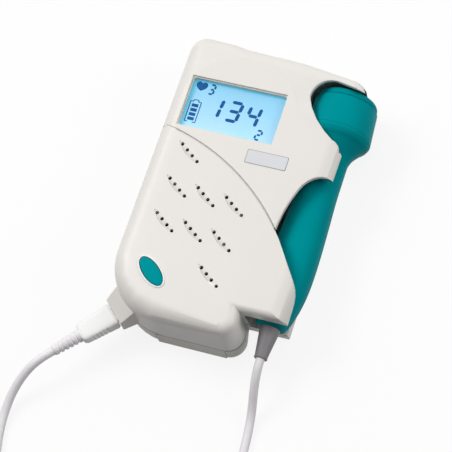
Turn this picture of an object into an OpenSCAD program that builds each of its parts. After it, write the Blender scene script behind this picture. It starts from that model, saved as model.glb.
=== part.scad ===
// Pocket doppler unit with a wide-head probe in its side holder.
// The unit lies on its back: +Z is out of the front face, +Y is the display end, +X is the probe side.
// Shapes are drawn from the case's own left bottom corner and then moved by placed().

/* [Case] */
// Length of the case, bottom face to top face
case_l = 140.2; // [132:0.2:150]
// How much wider than the display window the main block is
block_margin = 18.7; // [18.4:0.1:22]
// Thickness of the case
case_h = 34; // [34:0.5:38]
// Wall of the mouldings
wall = 2.2; // [1.8:0.1:2.6]
// Height of the line where the front mouldings meet the rear shell
parting_z = 10; // [9:0.5:12]
// Radius of the rolled front edge
edge_roll = 8; // [5:0.5:8]
// Radius of the tighter roll along the bottom edge
low_roll = 4.6; // [3:0.1:7]
// Radius of the roll at the end of the band round the head
band_roll = 5; // [4:0.1:8]
// Radius of the big corner that carries the socket, seen from the front
socket_corner = 28; // [24:1:32]

/* [Probe holder] */
// How far the holder flaps reach past the main block
flap_reach = 20.3; // [19:0.1:22]
// How far the main block runs on below the holder
block_drop = 15.8; // [12:0.5:18]
// Height of the tray under the handle
tray_z = 6.8; // [5:0.2:7]
// Height of the underside of the lower flap
flap_under = 27.6; // [27.4:0.1:29]
// Radius of the thumb notch between the two flaps
thumb_r = 12.8; // [11.5:0.1:13.4]
// Radius of the seam between the upper and the lower front moulding
seam_r = 110; // [108:0.5:112]

/* [Display] */
// Width of the display window
window_w = 45.6; // [40:0.2:46]
// Height of the display window
window_h = 25.4; // [20:0.2:27]
// Depth of the display below the front face
window_deep = 2.3; // [1.6:0.1:3]

/* [Grille and button] */
// Bore of one speaker hole
hole_d = 1.7; // [1:0.1:2]
// Distance between the holes of a row
hole_pitch = 3.8; // [3:0.1:4]
// Length of the leaf-shaped hollow round a row
leaf_l = 16; // [14:0.5:18]
// Width of that hollow
leaf_w = 3.6; // [2.6:0.1:4.4]
// Length of the oval start button
button_l = 16; // [12:0.2:18]
// Width of the oval start button
button_w = 7; // [5:0.1:8]
// Travel of the start button
button_travel = 0.8; // [0.5:0.1:1.2]

/* [Probe] */
// Radius of the probe head at its face
head_r = 14.8; // [13:0.1:14.8]
// How much wider the head is at the foot of its band
head_flare = 1.1; // [0:0.1:1.2]
// Height of the probe's axis above the back
probe_z = 17.2; // [17:0.1:17.4]
// Half width of the handle at its widest
grip_a = 11; // [9:0.1:11]
// Half thickness of the handle
grip_c = 10; // [8:0.1:10]
// Half width of the handle at its tail
tail_a = 6.6; // [6:0.1:8]
// Length of the strain relief below the handle
boot_l = 14.7; // [10:0.1:18]

/* [Power and sound] */
// Diameter of one cell
cell_d = 14.2; // [13.8:0.1:14.4]
// Length of one cell
cell_l = 50; // [46:0.5:50]
// Width of the battery door
door_w = 33; // [31:0.5:34]
// Diameter of the loudspeaker
speaker_d = 40; // [36:1:40]
// Bore of the earphone jack
jack_d = 3.6; // [3.5:0.1:4]
// Diameter of the volume wheel
wheel_d = 14; // [12:0.5:16]
// How far the volume wheel stands out of the side
wheel_proud = 0.8; // [0.4:0.1:1.2]

/* [Plug and lead] */
// Width of the plug at the socket
plug_w = 11.4; // [10:0.1:13]
// Thickness of the plug
plug_t = 7; // [6:0.1:7.8]
// Length of the plug's grip
plug_l = 18; // [16:0.5:24]
// Diameter of the lead
cord_d = 4; // [4:0.1:4]

/* [Hidden] */
$fn = 48;
e = 0.02; // overlap that lets cuts run through a face
fit = 0.3; // clearance between parts of different bodies
snug = 0.1; // clearance between parts that seat on each other
seam_gap = 0.36; // width of the seam groove on the front
back_round = 2.4;
shell_color = [0.93, 0.92, 0.90];
teal = [0.0, 0.50, 0.52];
grey = [0.55, 0.53, 0.55];
pale = [0.82, 0.81, 0.82];
board_green = [0.10, 0.36, 0.22];
metal = [0.75, 0.75, 0.73];
black = [0.13, 0.13, 0.14];

block_w = window_w + block_margin;

// Probe axis and the holder that goes round it
top_y = case_l - 0.6; // top face over the holder, a little short of the display corner
probe_x = block_w + 13.4;
flap_x = block_w + flap_reach;
head_top = top_y - 9.8; // face of the lens
head_seam = head_top - 4; // seam between the cup and its cap
head_base = top_y - 30.8; // lower edge of the head's straight band
neck_y = top_y - 44.1; // where the head's trumpet meets the handle
tail_y = block_drop - 2.8;
tail_x = probe_x - 2.1;
upper_under = flap_under + 2;
pocket_y = top_y - 41.7; // bottom of the head pocket
pocket_x = probe_x - head_r - head_flare - 0.4;
pocket_floor = probe_z - head_r - head_flare - fit;
pocket_top = top_y - 7.4;
seam_at = [-17, -17];
holder_draft = 5.5; // lean of the holder's lower end
flap_roll = 2.8; // radius of the front edge there
seam_right = [block_w - 4.3, 50]; // right of and below this point the lower moulding has the flap to itself
thumb_at = [block_w + 20.2, 70.2];
thumb_sweep = 64.5; // radius of the long side of the notch
front_z = case_h;
inner_z = case_h - wall;

// Socket corner: its frame has +X out of the boss, along the plug
socket_at = [4.6, 2.9, 14.2];
socket_turn = 227;
boss_w = plug_w + 2.4;
boss_lowest = socket_at[1] - boss_w / 2 * abs(cos(socket_turn));

// Case centre, so that the origin is under the middle of the object
mid_x = (probe_x + head_r + head_flare - wheel_proud) / 2;
mid_y = (case_l + boss_lowest) / 2;

// Display
window_at = [window_w / 2 + 8.3, top_y - 34.4];
glass_w = window_w + 2;
glass_h = window_h + 4;
pane_z = front_z - window_deep - 1;

// Speaker rows: a skewed lattice of leaves, as [column, row] steps from the first of the second line
rows = [[0, -1], [0, 0], [1, 0], [2, 0], [0, 1], [1, 1], [2, 1], [2, 2]];
row_at = [18.5, 62.2];
row_step = [14, -1.45];
line_step = [-0.3, -17.6];
row_turn = -37;
holes_in_row = 4;
leaf_tilt = 8; // the floor of a hollow rises to the front face on its upper side

button_turn = -40.5;
button_top = front_z + 0.5;
switch_top = 20.4;

// Cells and their bay
bay_x = block_w - 23.8;
bay_w = 2 * cell_d + 3.8;
bay_y0 = 3.4;
bay_l = cell_l + 4.6;
bay_top = cell_d + 3.6;
bay_left = bay_x - bay_w / 2 - 1.2;
button_at = [bay_left - 3.2, 20.2];
cell_z = cell_d / 2 + 2.9;
cell_step = cell_d / 2 + 0.3;
door_t = 2;
door_l = bay_y0 + bay_l + 1.2;
door_x = bay_x - door_w / 2;
lip_z = parting_z - 0.2;

speaker_at = [32.5, 52];
speaker_z = inner_z - 7; // underside of the loudspeaker's frame
magnet_t = 2.2;
board_z = 12;
board_t = 1.6;
board_y0 = 61;
board_y1 = top_y - 10.4;
board_x0 = 4.6;
board_w = block_w - 13.8;
key_board_z = 15;
wheel_z = 15.4;
wheel_t = 3;
wheel_at = [wheel_d / 2 - wheel_proud, top_y - 30];
jack_at = [20, 17.5];
jack_l = 14;
screws = [[8, 44], [block_w - 4.3, 22], [8.5, top_y - 9.6], [block_w - 7.9, top_y - 9],
    [block_w - 5.5, 72]];
screw_d = 2.6;
post_d = 5.2;
screw_seat = wall - 0.9; // face that the screw heads bear on

// Lead: hand-chosen points in the object's frame, from the strain relief to the coil and from the
// coil to the plug. The coil between them comes from a formula.
boot_end = [tail_x - mid_x, tail_y - boot_l - fit - mid_y, probe_z];
cord_a = [boot_end, [29.2, -75, 16.6], [29.2, -79.5, 14.3], [29.3, -84, 10.8], [29.6, -88.5, 7],
    [30, -94, 3.7], [30.6, -101, 2.2], [31.2, -109, 2], [31.7, -118, 2], [32, -127, 2],
    [32, -136, 2], [32, -146, 2], [32, -156, 2]];
cord_b = [[-2, -190, 6.6], [-10, -190, 6.6], [-19, -190, 5.4], [-28, -189.6, 3.8], [-37, -188, 2.6],
    [-46, -184.6, 2], [-54, -179.4, 2], [-61, -172.6, 2], [-66.8, -164.6, 2], [-71.6, -155.6, 2],
    [-75, -146, 2], [-77.4, -136, 2], [-79, -127, 2.2], [-79.2, -119, 3.4], [-78, -111.6, 6],
    [-75.4, -105, 9.4], [-71.8, -99.2, 12.6], [-67.7, -94.2, 14.2]];
cord_sides = 8;
coil_at = [2, -160];
coil_out = 30; // radius of the outermost turn
coil_pitch = 4.6;
coil_turns = 6.25;
coil_rings = 24; // rings in one turn
coil_sides = 6;
low_z = 2;
rise = 4.6;

function arc(c, r, a0, a1, n) = [for (i = [0:n]) let (a = a0 + (a1 - a0) * i / n)
    [c[0] + r * cos(a), c[1] + r * sin(a)]];
function smooth(t) = let (s = min(1, max(0, t))) s * s * (3 - 2 * s);
function unit(v) = v / norm(v);

module placed() {
    translate([-mid_x, -mid_y, 0]) children();
}

module at_socket() {
    translate(socket_at) rotate([0, 0, socket_turn]) children();
}

// Housing: each form is the hull of turned posts that carry the rolled front and the eased back edge
module post(x, y, r, faces = 32, rolled = edge_roll) {
    roll = min(rolled, r - 0.2);
    translate([x, y, 0]) rotate_extrude($fn = faces) polygon(concat([[0, 0]],
        arc([r - back_round, back_round], back_round, -90, 0, 2),
        arc([r - roll, case_h - roll], roll, 0, 90, 5), [[0, case_h]]));
}

module block_form() {
    hull() {
        post(socket_corner, socket_corner, socket_corner, 48);
        post(block_w - 7.6, 7.6, 7.6, 32, low_roll);
        post(9, case_l - 8, 8);
        post(20, case_l - 8.3, 8);
        post(30, top_y - 10.2, 9);
    }
}

module flap_form() {
    difference() {
        hull() {
            post(30, 6, 8);
            post(flap_x - 8, 6, 8);
            post(30, top_y - 28, 8);
            post(flap_x - 6.1, top_y - 36, 8);
        }
        flap_end();
    }
}

// Cut that ends the holder below: it leans, and leaves the front edge rolled
module flap_end() {
    lean = tan(holder_draft);
    roll_y = block_drop - (front_z - flap_roll) * lean;
    translate([10, 0, 0]) rotate([90, 0, 90]) linear_extrude(110) polygon(concat(
        [[-60, -30], [block_drop + 30 * lean, -30]],
        arc([roll_y + flap_roll, front_z - flap_roll], flap_roll, 180, 90, 5),
        [[roll_y + flap_roll, 60], [-60, 60]]));
}

module top_form() {
    hull() {
        post(24, top_y - 9.6, 9);
        post(block_w - 9.3, top_y - 10.7, 9);
        post(block_w + 14.9, top_y - 16.3, 10.4, 40, band_roll);
        post(flap_x - 6.1, top_y - 39.6, 8);
        post(30, top_y - 40, 9);
    }
}

module cavity_plan(inset) {
    far = top_y - 2.4 - inset;
    right = block_w - wall;
    polygon(concat(arc([socket_corner, socket_corner], socket_corner - inset, 180, 270, 10),
        [[block_w - inset - 1.2, inset], [block_w - inset - 1.2, 17], [right, 22], [right, pocket_y - 3],
            [right - 2.3, pocket_y + 1], [right - 2.3, far], [9, far], [inset, far - 8]]));
}

// Inside of the main block: straight walls below, drawn in where the front edge rolls over
module cavity() {
    roll_z = case_h - edge_roll;
    translate([0, 0, wall]) linear_extrude(roll_z - wall) cavity_plan(wall);
    translate([0, 0, roll_z - e]) linear_extrude(inner_z - roll_z + e) cavity_plan(wall + 3.4);
}

// Space that the probe lies in, open to the side and to the bottom
module holder_space() {
    translate([0, -20, tray_z]) rotate([90, 0, 90]) translate([0, 0, block_w]) linear_extrude(60)
        polygon([[0, 0], [0, flap_under - tray_z - 5.2], [33, flap_under - tray_z - 2.4],
            [55, flap_under - tray_z], [90, flap_under - tray_z], [90, 0]]);
    translate([block_w, 60, tray_z]) cube([60, pocket_y - 60 + e, upper_under - tray_z]);
    flap_hollow(block_drop + wall + 1.4, thumb_at[1], flap_x - 8);
    flap_hollow(thumb_at[1], pocket_y + 1, flap_x - 6.1);
    translate([0, 0, pocket_floor]) linear_extrude(inner_z - pocket_floor)
        polygon([[pocket_x, pocket_y], [pocket_x, pocket_top - 4], [pocket_x + 4, pocket_top],
            [probe_x - 2, pocket_top], [probe_x + 5, head_top + 0.4], [120, head_top - 2.2], [120, pocket_y]]);
}

// Hollow under a flap, which leaves it one wall thick out to its rolled edge
module flap_hollow(y0, y1, roll_x) {
    reach = edge_roll - wall;
    translate([0, y1, 0]) rotate([90, 0, 0]) linear_extrude(y1 - y0) polygon(concat([[block_w, tray_z]],
        [[block_w, inner_z], [roll_x, inner_z]], [for (a = [75:-15:30]) [roll_x, inner_z - reach] + reach * [cos(a), sin(a)]],
        [[roll_x + reach * cos(30), tray_z]]));
}

// Window in the front through which the head shows
module head_window() {
    top = pocket_top - 2.3;
    low = head_base - 7.8;
    translate([0, 0, upper_under]) linear_extrude(case_h) polygon(concat(
        arc([probe_x - 4.2, top - 9.4], 9.6, 90, 180, 8),
        [[probe_x - 13.3, head_base + 9.9], [probe_x - 11.4, head_base + 6],
            [probe_x - 7.6, head_base + 0.8], [probe_x - 2.6, head_base - 4]],
        arc([flap_x - 5.4, low - 4.6], 4.9, 82, 10, 6),
        [[top_y, low - 4.6], [top_y, top - 6], [block_w + 22, top - 2]]));
}

// Notch that bares the handle, and the straight edge of the lower flap that runs down from it
module thumb_notch() {
    sweep_at = thumb_at + (thumb_sweep - thumb_r) * [cos(22), -sin(22)];
    translate([0, 0, tray_z]) linear_extrude(case_h) polygon(concat([[120, thumb_at[1] + thumb_r]],
        arc(thumb_at, thumb_r, 84, 158, 9), arc(sweep_at, thumb_sweep, 159, 178, 6),
        [[flap_x - 2.2, 32], [flap_x - 1, 29.6], [flap_x - 0.2, 27], [flap_x + 0.1, 24.4], [120, 24.4]]));
}

// Everything on the lower moulding's side of the seam
module seam_side(shift) {
    translate([seam_at[0], seam_at[1], 0]) cylinder(r = seam_r + shift, h = case_h + 1, $fn = 180);
    translate([seam_right[0], -20, 0]) cube([60, seam_right[1] + 20, case_h + 1]);
}

module above_parting(gap) {
    translate([-50, -50, parting_z + gap]) cube([200, 250, case_h]);
}

// Lens shape: where two discs overlap
module leaf(l, w, h) {
    r = (l * l / 4 + w * w / 4) / w;
    intersection() {
        translate([0, r - w / 2, 0]) cylinder(r = r, h = h, $fn = 96);
        translate([0, w / 2 - r, 0]) cylinder(r = r, h = h, $fn = 96);
    }
}

module oval(l, w, h) {
    linear_extrude(h) polygon([for (i = [0:47]) [l / 2 * cos(7.5 * i), w / 2 * sin(7.5 * i)]]);
}

module at_button(z) {
    translate([button_at[0], button_at[1], z]) rotate([0, 0, button_turn]) children();
}

module grille_cuts() {
    for (s = rows) translate(concat(row_at + s[0] * row_step + s[1] * line_step, [0]))
        rotate([0, 0, row_turn]) {
            intersection() {
                translate([0, 0, front_z - 1]) leaf(leaf_l, leaf_w, 3);
                translate([-20, leaf_w / 2, front_z]) rotate([leaf_tilt, 0, 0]) translate([0, -20, 0])
                    cube([40, 21, 6]);
            }
            for (i = [0:holes_in_row - 1])
                translate([(i - (holes_in_row - 1) / 2) * hole_pitch, 0, inner_z - 1])
                    cylinder(d = hole_d, h = wall + 2, $fn = 24);
        }
}

module screw_posts(list, z0, z1) {
    for (p = list) translate([p[0], p[1], z0]) difference() {
        cylinder(d = post_d, h = z1 - z0);
        translate([0, 0, -e]) cylinder(d = screw_d, h = z1 - z0 - 3);
    }
}

module boss() {
    at_socket() hull() {
        translate([-1, -boss_w / 2, -plug_t / 2 - 0.6]) cube([1, boss_w, plug_t + 1]);
        translate([-9, -boss_w / 2 - 1, -plug_t / 2 - 0.6]) cube([2, boss_w + 2, plug_t + 6]);
    }
}

module socket_bore() {
    at_socket() translate([-10, -plug_w / 2 + 1.2, -plug_t / 2 + 0.9])
        cube([11, plug_w - 2.4, plug_t - 1.8]);
}

module front_upper() {
    color(shell_color) placed() difference() {
        union() {
            difference() {
                intersection() {
                    union() {
                        block_form();
                        flap_form();
                        top_form();
                    }
                    above_parting(seam_gap);
                }
                cavity();
            }
            screw_posts([screws[2], screws[3], screws[4]], parting_z + snug, inner_z + e);
        }
        seam_side(seam_gap / 2);
        holder_space();
        head_window();
        thumb_notch();
        translate([window_at[0] - window_w / 2, window_at[1] - window_h / 2, 0])
            cube([window_w, window_h, case_h + 1]);
        translate([wheel_at[0], wheel_at[1], wheel_z - 0.6]) cylinder(r = wheel_d / 2 + 0.6, h = wheel_t + 1.2);
        translate([jack_at[0], top_y - 6, jack_at[1]]) rotate([-90, 0, 0]) cylinder(d = 8, h = 20);
    }
}

module front_lower() {
    color(shell_color) placed() difference() {
        union() {
            difference() {
                intersection() {
                    union() {
                        block_form();
                        flap_form();
                    }
                    above_parting(seam_gap);
                    seam_side(-seam_gap / 2);
                }
                cavity();
            }
            intersection() {
                boss();
                above_parting(seam_gap);
            }
            screw_posts([screws[0], screws[1]], parting_z + snug, inner_z + e);
            at_button(inner_z - 3) oval(button_l + 2.2, button_w + 2.2, 3 + wall + 0.3);
        }
        holder_space();
        thumb_notch();
        grille_cuts();
        socket_bore();
        at_button(inner_z - 4) oval(button_l + 2 * fit, button_w + 2 * fit, 12);
    }
}

module rear_case() {
    color(shell_color) placed() difference() {
        union() {
            difference() {
                difference() {
                    union() {
                        block_form();
                        flap_form();
                        top_form();
                    }
                    translate([-50, -50, parting_z]) cube([200, 250, case_h]);
                }
                cavity();
                holder_space();
                translate([0, 0, -e]) linear_extrude(case_h)
                    polygon([[flap_x - 3, -20], [flap_x - 3, pocket_y - 2], [flap_x - 6, pocket_y + 8],
                        [flap_x - 6, pocket_y + 14], [120, pocket_y + 14], [120, -20]]);
            }
            translate([bay_left, 1, wall - e])
                cube([bay_w + 2.4, bay_y0 + bay_l + 0.2, parting_z - wall + e]);
            translate([bay_left, wall + 0.6, wall - e])
                cube([bay_w + 2.4, bay_y0 + bay_l + 0.6 - wall, bay_top - wall + 1.2]);
            screw_posts(screws, wall - e, parting_z);
            for (p = [[9, board_y0 + 9], [board_w - 0.5, board_y0 + 9], [9, board_y1 - 9], [board_w - 0.5, board_y1 - 3]])
                translate([p[0], p[1], wall - e]) cylinder(d = 5, h = board_z - wall + e);
            for (p = [[bay_left - 11.2, 17], [bay_left - 3.2, 29]])
                translate([p[0], p[1], wall - e]) cylinder(d = 4, h = key_board_z - wall + e);
        }
        translate([bay_x - bay_w / 2, bay_y0, -1]) cube([bay_w, bay_l, bay_top + 1]);
        translate([door_x - fit, -5, -1]) cube([door_w + 2 * fit, door_l + 5 + fit, door_t + 1 + snug]);
        translate([door_x - fit, -5, -1]) cube([door_w + 2 * fit, 5 + door_t + snug, 30]);
        for (p = screws) translate([p[0], p[1], -1]) {
            cylinder(d = screw_d, h = case_h);
            cylinder(d = post_d + 0.2, h = 1 + screw_seat);
        }
        socket_bore();
    }
}

module display_window() {
    color([0.80, 0.90, 0.96, 0.35]) placed()
        translate([window_at[0] - glass_w / 2 - 0.6, window_at[1] - glass_h / 2 - 0.6, pane_z])
            cube([glass_w + 1.2, glass_h + 1.2, inner_z - pane_z - 0.1]);
}

module lcd_glass() {
    color([0.62, 0.86, 0.97]) placed()
        translate([window_at[0] - glass_w / 2, window_at[1] - glass_h / 2, pane_z - 2.5])
            cube([glass_w, glass_h, 2.4]);
}

module backlight() {
    color("white") placed()
        translate([window_at[0] - glass_w / 2, window_at[1] - glass_h / 2, pane_z - 5.4])
            cube([glass_w, glass_h, 2.8]);
}

// Frame that holds the glass and its light over the board, on four legs
module display_frame() {
    frame_w = glass_w + 2.8;
    frame_h = glass_h + 2.8;
    color(black) placed() translate([window_at[0], window_at[1], 0]) {
        difference() {
            translate([-frame_w / 2, -frame_h / 2, pane_z - 6.6]) cube([frame_w, frame_h, 6.5]);
            translate([-glass_w / 2 - snug, -glass_h / 2 - snug, pane_z - 5.5])
                cube([glass_w + 2 * snug, glass_h + 2 * snug, 8]);
            translate([-glass_w / 2 + 4, -glass_h / 2 + 4, 0]) cube([glass_w - 8, glass_h - 8, case_h]);
        }
        leg_z = board_z + board_t;
        for (x = [-18, 18], y = [-12, 12]) translate([x - 1.5, y * glass_h / 28 - 1, leg_z])
            cube([3, 2, pane_z - 6.6 - leg_z + e]);
    }
}

module main_board() {
    color(board_green) placed() difference() {
        translate([board_x0, board_y0, board_z]) cube([board_w, board_y1 - board_y0, board_t]);
        for (p = screws) translate([p[0], p[1], 0]) cylinder(d = post_d + 1.4, h = case_h);
    }
}

module board_chips() {
    color(black) placed() translate([0, 0, board_z + board_t]) {
        translate([window_at[0] - 13, window_at[1] - 22, 0]) cube([14, 14, 1.6]);
        translate([window_at[0] + 7, window_at[1] - 20, 0]) cube([9, 12, 1.5]);
        translate([22, board_y0 + 5, 0]) cube([10, 6, 1.5]);
        translate([40, board_y0 + 7, 0]) cylinder(d = 8, h = 5);
        translate([window_at[0] - 11, window_at[1] + 5, 0]) cube([9, 6, 1.8]);
        translate([window_at[0] + 5, window_at[1] + 3, 0]) cube([8, 8, 1.8]);
    }
}

module speaker_frame() {
    color(metal) placed() translate([speaker_at[0], speaker_at[1], speaker_z]) difference() {
        rotate_extrude() polygon([[speaker_d / 2 - 9, 0], [speaker_d / 2 - 7.6, 0],
            [speaker_d / 2 - 3, 4.2], [speaker_d / 2, 4.2], [speaker_d / 2, 6.9],
            [speaker_d / 2 - 2, 6.9], [speaker_d / 2 - 2, 5.4], [speaker_d / 2 - 4, 5.4],
            [speaker_d / 2 - 9, 1.1]]);
        for (a = [0:60:300]) rotate([0, 0, a]) translate([speaker_d / 2 - 6.6, 0, -2])
            cylinder(d = 3.6, h = 6);
    }
}

module speaker_cone() {
    color(black) placed() translate([speaker_at[0], speaker_at[1], speaker_z]) rotate_extrude()
        polygon([[0, 2.9], [4.5, 2.3], [5.5, 1.7], [speaker_d / 2 - 5, 5.5], [speaker_d / 2 - 2.2, 5.5],
            [speaker_d / 2 - 2.2, 6], [speaker_d / 2 - 5.2, 6.1], [5.6, 2.4], [4.6, 3], [0, 3.7]]);
}

module speaker_magnet() {
    color(metal) placed() translate([speaker_at[0], speaker_at[1], speaker_z - magnet_t]) {
        cylinder(d = 2 * (speaker_d / 2 - 9) + 1, h = magnet_t - 0.05);
        cylinder(d = 8.6, h = magnet_t + 1.4);
    }
}

module key_board() {
    color(board_green) placed()
        translate([bay_left - 13.2, 13.4, key_board_z]) cube([12.6, 18, 1.5]);
}

module button_switch() {
    color(black) placed() translate([button_at[0], button_at[1], key_board_z + 1.5]) {
        translate([-3, -3, 0]) cube([6, 6, 3]);
        cylinder(d = 3.4, h = switch_top - key_board_z - 1.5);
    }
}

module start_button() {
    color(teal) placed() {
        at_button(inner_z - 3.2) oval(button_l, button_w, button_top - inner_z + 2.9);
        at_button(inner_z - 3.2) oval(button_l - 1, button_w - 1, button_top - inner_z + 3.2);
        at_button(inner_z - 4.5) oval(button_l + 2, button_w + 2, 1.31);
        translate([button_at[0], button_at[1], switch_top + button_travel + snug])
            cylinder(d = 3.2, h = inner_z - 4.4 - switch_top - button_travel - snug);
    }
}

module volume_pot() {
    color(metal) placed() translate([wheel_at[0], wheel_at[1], board_z + board_t]) {
        cylinder(d = 7.4, h = wheel_z - 0.3 - board_z - board_t);
        cylinder(d = 2.4, h = wheel_z + wheel_t - board_z - board_t);
    }
}

module volume_wheel() {
    color(black) placed() translate([wheel_at[0], wheel_at[1], wheel_z]) difference() {
        cylinder(d = wheel_d, h = wheel_t, $fn = 64);
        translate([0, 0, -e]) cylinder(d = 2.5, h = wheel_t + 1);
        for (a = [0:15:345]) rotate([0, 0, a]) translate([wheel_d / 2 + 0.25, 0, -e])
            cylinder(d = 0.9, h = wheel_t + 1, $fn = 16);
    }
}

module earphone_jack() {
    color(black) placed() translate([jack_at[0], top_y - wall - 1, jack_at[1]]) difference() {
        union() {
            translate([-4.4, -jack_l, -3.9]) cube([8.8, jack_l - 3, 7.8]);
            translate([0, -3 - e, 0]) rotate([-90, 0, 0]) cylinder(d = 7.8, h = 3 + wall + 0.6);
        }
        translate([0, -jack_l + 1, 0]) rotate([-90, 0, 0]) cylinder(d = jack_d, h = 30);
    }
}

module probe_socket() {
    color(black) placed() at_socket() difference() {
        translate([-9.8, -plug_w / 2 + 1.3, -plug_t / 2 + 1]) cube([9.4, plug_w - 2.6, plug_t - 2]);
        translate([-8.6, -plug_w / 2 + 2.1, -plug_t / 2 + 1.8]) cube([11, plug_w - 4.2, plug_t - 3.6]);
    }
}

module battery_door() {
    color(shell_color) placed() difference() {
        union() {
            translate([door_x, 0.1, 0]) cube([door_w, door_l - 0.1, door_t]);
            translate([door_x, 0.1, 0]) cube([door_w, door_t - 0.1, lip_z]);
        }
        translate([door_x - 1, -0.4, -0.8]) rotate([45, 0, 0]) translate([0, -2, -2]) cube([door_w + 2, 4, 2.4]);
        for (i = [0:5]) translate([bay_x - 8, 40 + 2.2 * i, -e]) cube([16, 1, 0.6]);
    }
}

module battery_cells() {
    color([0.20, 0.21, 0.24]) placed()
        for (s = [-1, 1]) translate([bay_x + s * cell_step, bay_y0 + 2.4, cell_z]) rotate([-90, 0, 0]) {
            cylinder(d = cell_d, h = cell_l - 1.2);
            cylinder(d = 5.2, h = cell_l);
        }
}

module battery_contacts() {
    color(metal) placed() for (s = [-1, 1]) translate([bay_x + s * cell_step, bay_y0, cell_z]) {
        translate([-4, 0.1, -4]) cube([8, 0.5, 8]);
        translate([0, 0.5, 0]) rotate([-90, 0, 0]) cylinder(d1 = 7, d2 = 4, h = 1.7);
        translate([-4, bay_l - 0.6, -4]) cube([8, 0.5, 8]);
        translate([0, bay_l - 2, 0]) rotate([-90, 0, 0]) cylinder(d = 4, h = 1.5);
    }
}

module case_screws() {
    color(metal) placed() for (p = screws) translate([p[0], p[1], 0.5]) difference() {
        union() {
            cylinder(d = post_d - 0.4, h = screw_seat - 0.5);
            cylinder(d = screw_d - 0.1, h = screw_seat + 16.5);
        }
        translate([-0.4, -1.6, -e]) cube([0.8, 3.2, 0.5]);
        translate([-1.6, -0.4, -e]) cube([3.2, 0.8, 0.5]);
    }
}

// Handle: sections along Y, each a rounded oval, wide at the grip and slim at neck and tail
grip_stations = [[0, tail_a, 0.72], [0.03, tail_a + 1, 0.78], [0.09, tail_a + 2.4, 0.86],
    [0.17, tail_a + 3.7, 0.94], [0.27, grip_a, 1], [0.4, grip_a, 1], [0.54, grip_a - 0.5, 0.98],
    [0.68, grip_a - 1.2, 0.94], [0.82, grip_a - 1.9, 0.9], [0.93, 8.9, 0.88], [1, 8.8, 0.88]];
grip_l = neck_y - snug - tail_y;
half_points = 12;

function grip_section(s, side) = [for (i = [0:half_points])
    let (a = 180 * i / half_points,
        x = tail_x + (probe_x - tail_x) * s[0],
        c = s[2] * grip_c,
        cx = abs(cos(a)) ^ 0.86 * sign(cos(a)),
        cz = sin(a) ^ 0.92)
    [x + s[1] * cx, tail_y + s[0] * grip_l, probe_z + side * (0.05 + c * cz)]];

module half_loft(side) {
    rings = [for (s = grip_stations) grip_section(s, side)];
    n = half_points + 1;
    m = len(rings);
    quads = [for (k = [0:m - 2], i = [0:n - 1]) let (j = (i + 1) % n)
        [k * n + i, k * n + j, (k + 1) * n + j, (k + 1) * n + i]];
    tris = [for (q = quads) each [[q[0], q[1], q[2]], [q[0], q[2], q[3]]]];
    start = [for (i = [1:n - 2]) [0, i + 1, i]];
    last = (m - 1) * n;
    finish = [for (i = [1:n - 2]) [last, last + i, last + i + 1]];
    faces = concat(tris, start, finish);
    polyhedron([for (r = rings) each r], side > 0 ? [for (f = faces) [f[2], f[1], f[0]]] : faces);
}

// Hollow for the small board and the boot's collar
module handle_hollow() {
    translate([tail_x - 4.4, tail_y + 16, probe_z - 4]) cube([11.4, grip_l - 10, 8]);
    translate([tail_x, tail_y - 1, probe_z]) rotate([-90, 0, 0]) cylinder(r = 3.2, h = 20);
    translate([tail_x, tail_y + 2, probe_z]) rotate([-90, 0, 0]) cylinder(r = 4.7, h = 3);
}

module handle_front() {
    color(teal) placed() difference() {
        half_loft(1);
        handle_hollow();
    }
}

module handle_back() {
    color(teal) placed() difference() {
        half_loft(-1);
        handle_hollow();
    }
}

module on_probe() {
    translate([probe_x, 0, probe_z]) rotate([-90, 0, 0]) children();
}

module head_cup() {
    cup_r = head_r - 2.2;
    base_r = head_r + head_flare;
    trumpet = [[8.8, neck_y], [8.9, neck_y + 2], [9.5, neck_y + 4.2], [10.5, neck_y + 6.4],
        [11.9, neck_y + 8.6], [base_r - 2.5, neck_y + 10.4], [base_r - 1.1, neck_y + 11.8],
        [base_r - 0.3, head_base - 0.1], [base_r, head_base + 0.9]];
    color(teal) placed() on_probe() rotate_extrude($fn = 72) polygon(concat([[6, neck_y]], trumpet,
        [[head_r, head_seam - 0.3], [head_r - 0.3, head_seam], [cup_r, head_seam],
            [cup_r, head_base + 0.6], [6, head_base - 5]]));
}

module head_cap() {
    cap_r = head_r - 0.7;
    color(teal) placed() on_probe() rotate_extrude($fn = 72) polygon(concat(
        [[head_r - 3.1, head_seam + 0.05], [cap_r, head_seam + 0.05]],
        arc([cap_r - 2.3, head_top - 2.7], 2.3, 0, 90, 4), [[head_r - 3.1, head_top - 0.4]]));
}

module probe_lens() {
    lens_r = head_r - 3.2;
    color(pale) placed() on_probe() rotate_extrude($fn = 72) polygon([[0, head_top - 3], [lens_r, head_top - 3],
        [lens_r, head_top - 0.5], [lens_r - 2, head_top - 0.2], [0, head_top]]);
}

module crystals() {
    color([0.72, 0.60, 0.35]) placed() on_probe() translate([0, 0, head_top - 4.1]) {
        cylinder(d = 5.4, h = 1);
        for (a = [0:60:300]) rotate([0, 0, a]) translate([8.2, 0, 0]) cylinder(d = 5.4, h = 1);
    }
}

module backing_disc() {
    color(black) placed() on_probe() translate([0, 0, head_top - 7.2]) cylinder(r = head_r - 2.4, h = 3);
}

module probe_board() {
    color(board_green) placed() translate([tail_x - 4, tail_y + 24, probe_z - 0.8])
        cube([10.4, grip_l - 34, 1.6]);
}

// Strain relief: a smooth taper with a collar caught in the tail of the handle
module cord_boot() {
    color(grey) placed() translate([tail_x, tail_y, probe_z]) rotate([-90, 0, 0]) rotate_extrude()
        polygon([[0, -boot_l], [2.8, -boot_l], [2.9, -boot_l + 0.6], [3.6, -boot_l + 6], [4.7, -0.3],
            [4.7, -0.1], [3.1, -0.1], [3.1, 2.2], [4.5, 2.2], [4.5, 4.8], [3.1, 4.8], [3.1, 14], [0, 14]]);
}

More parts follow.
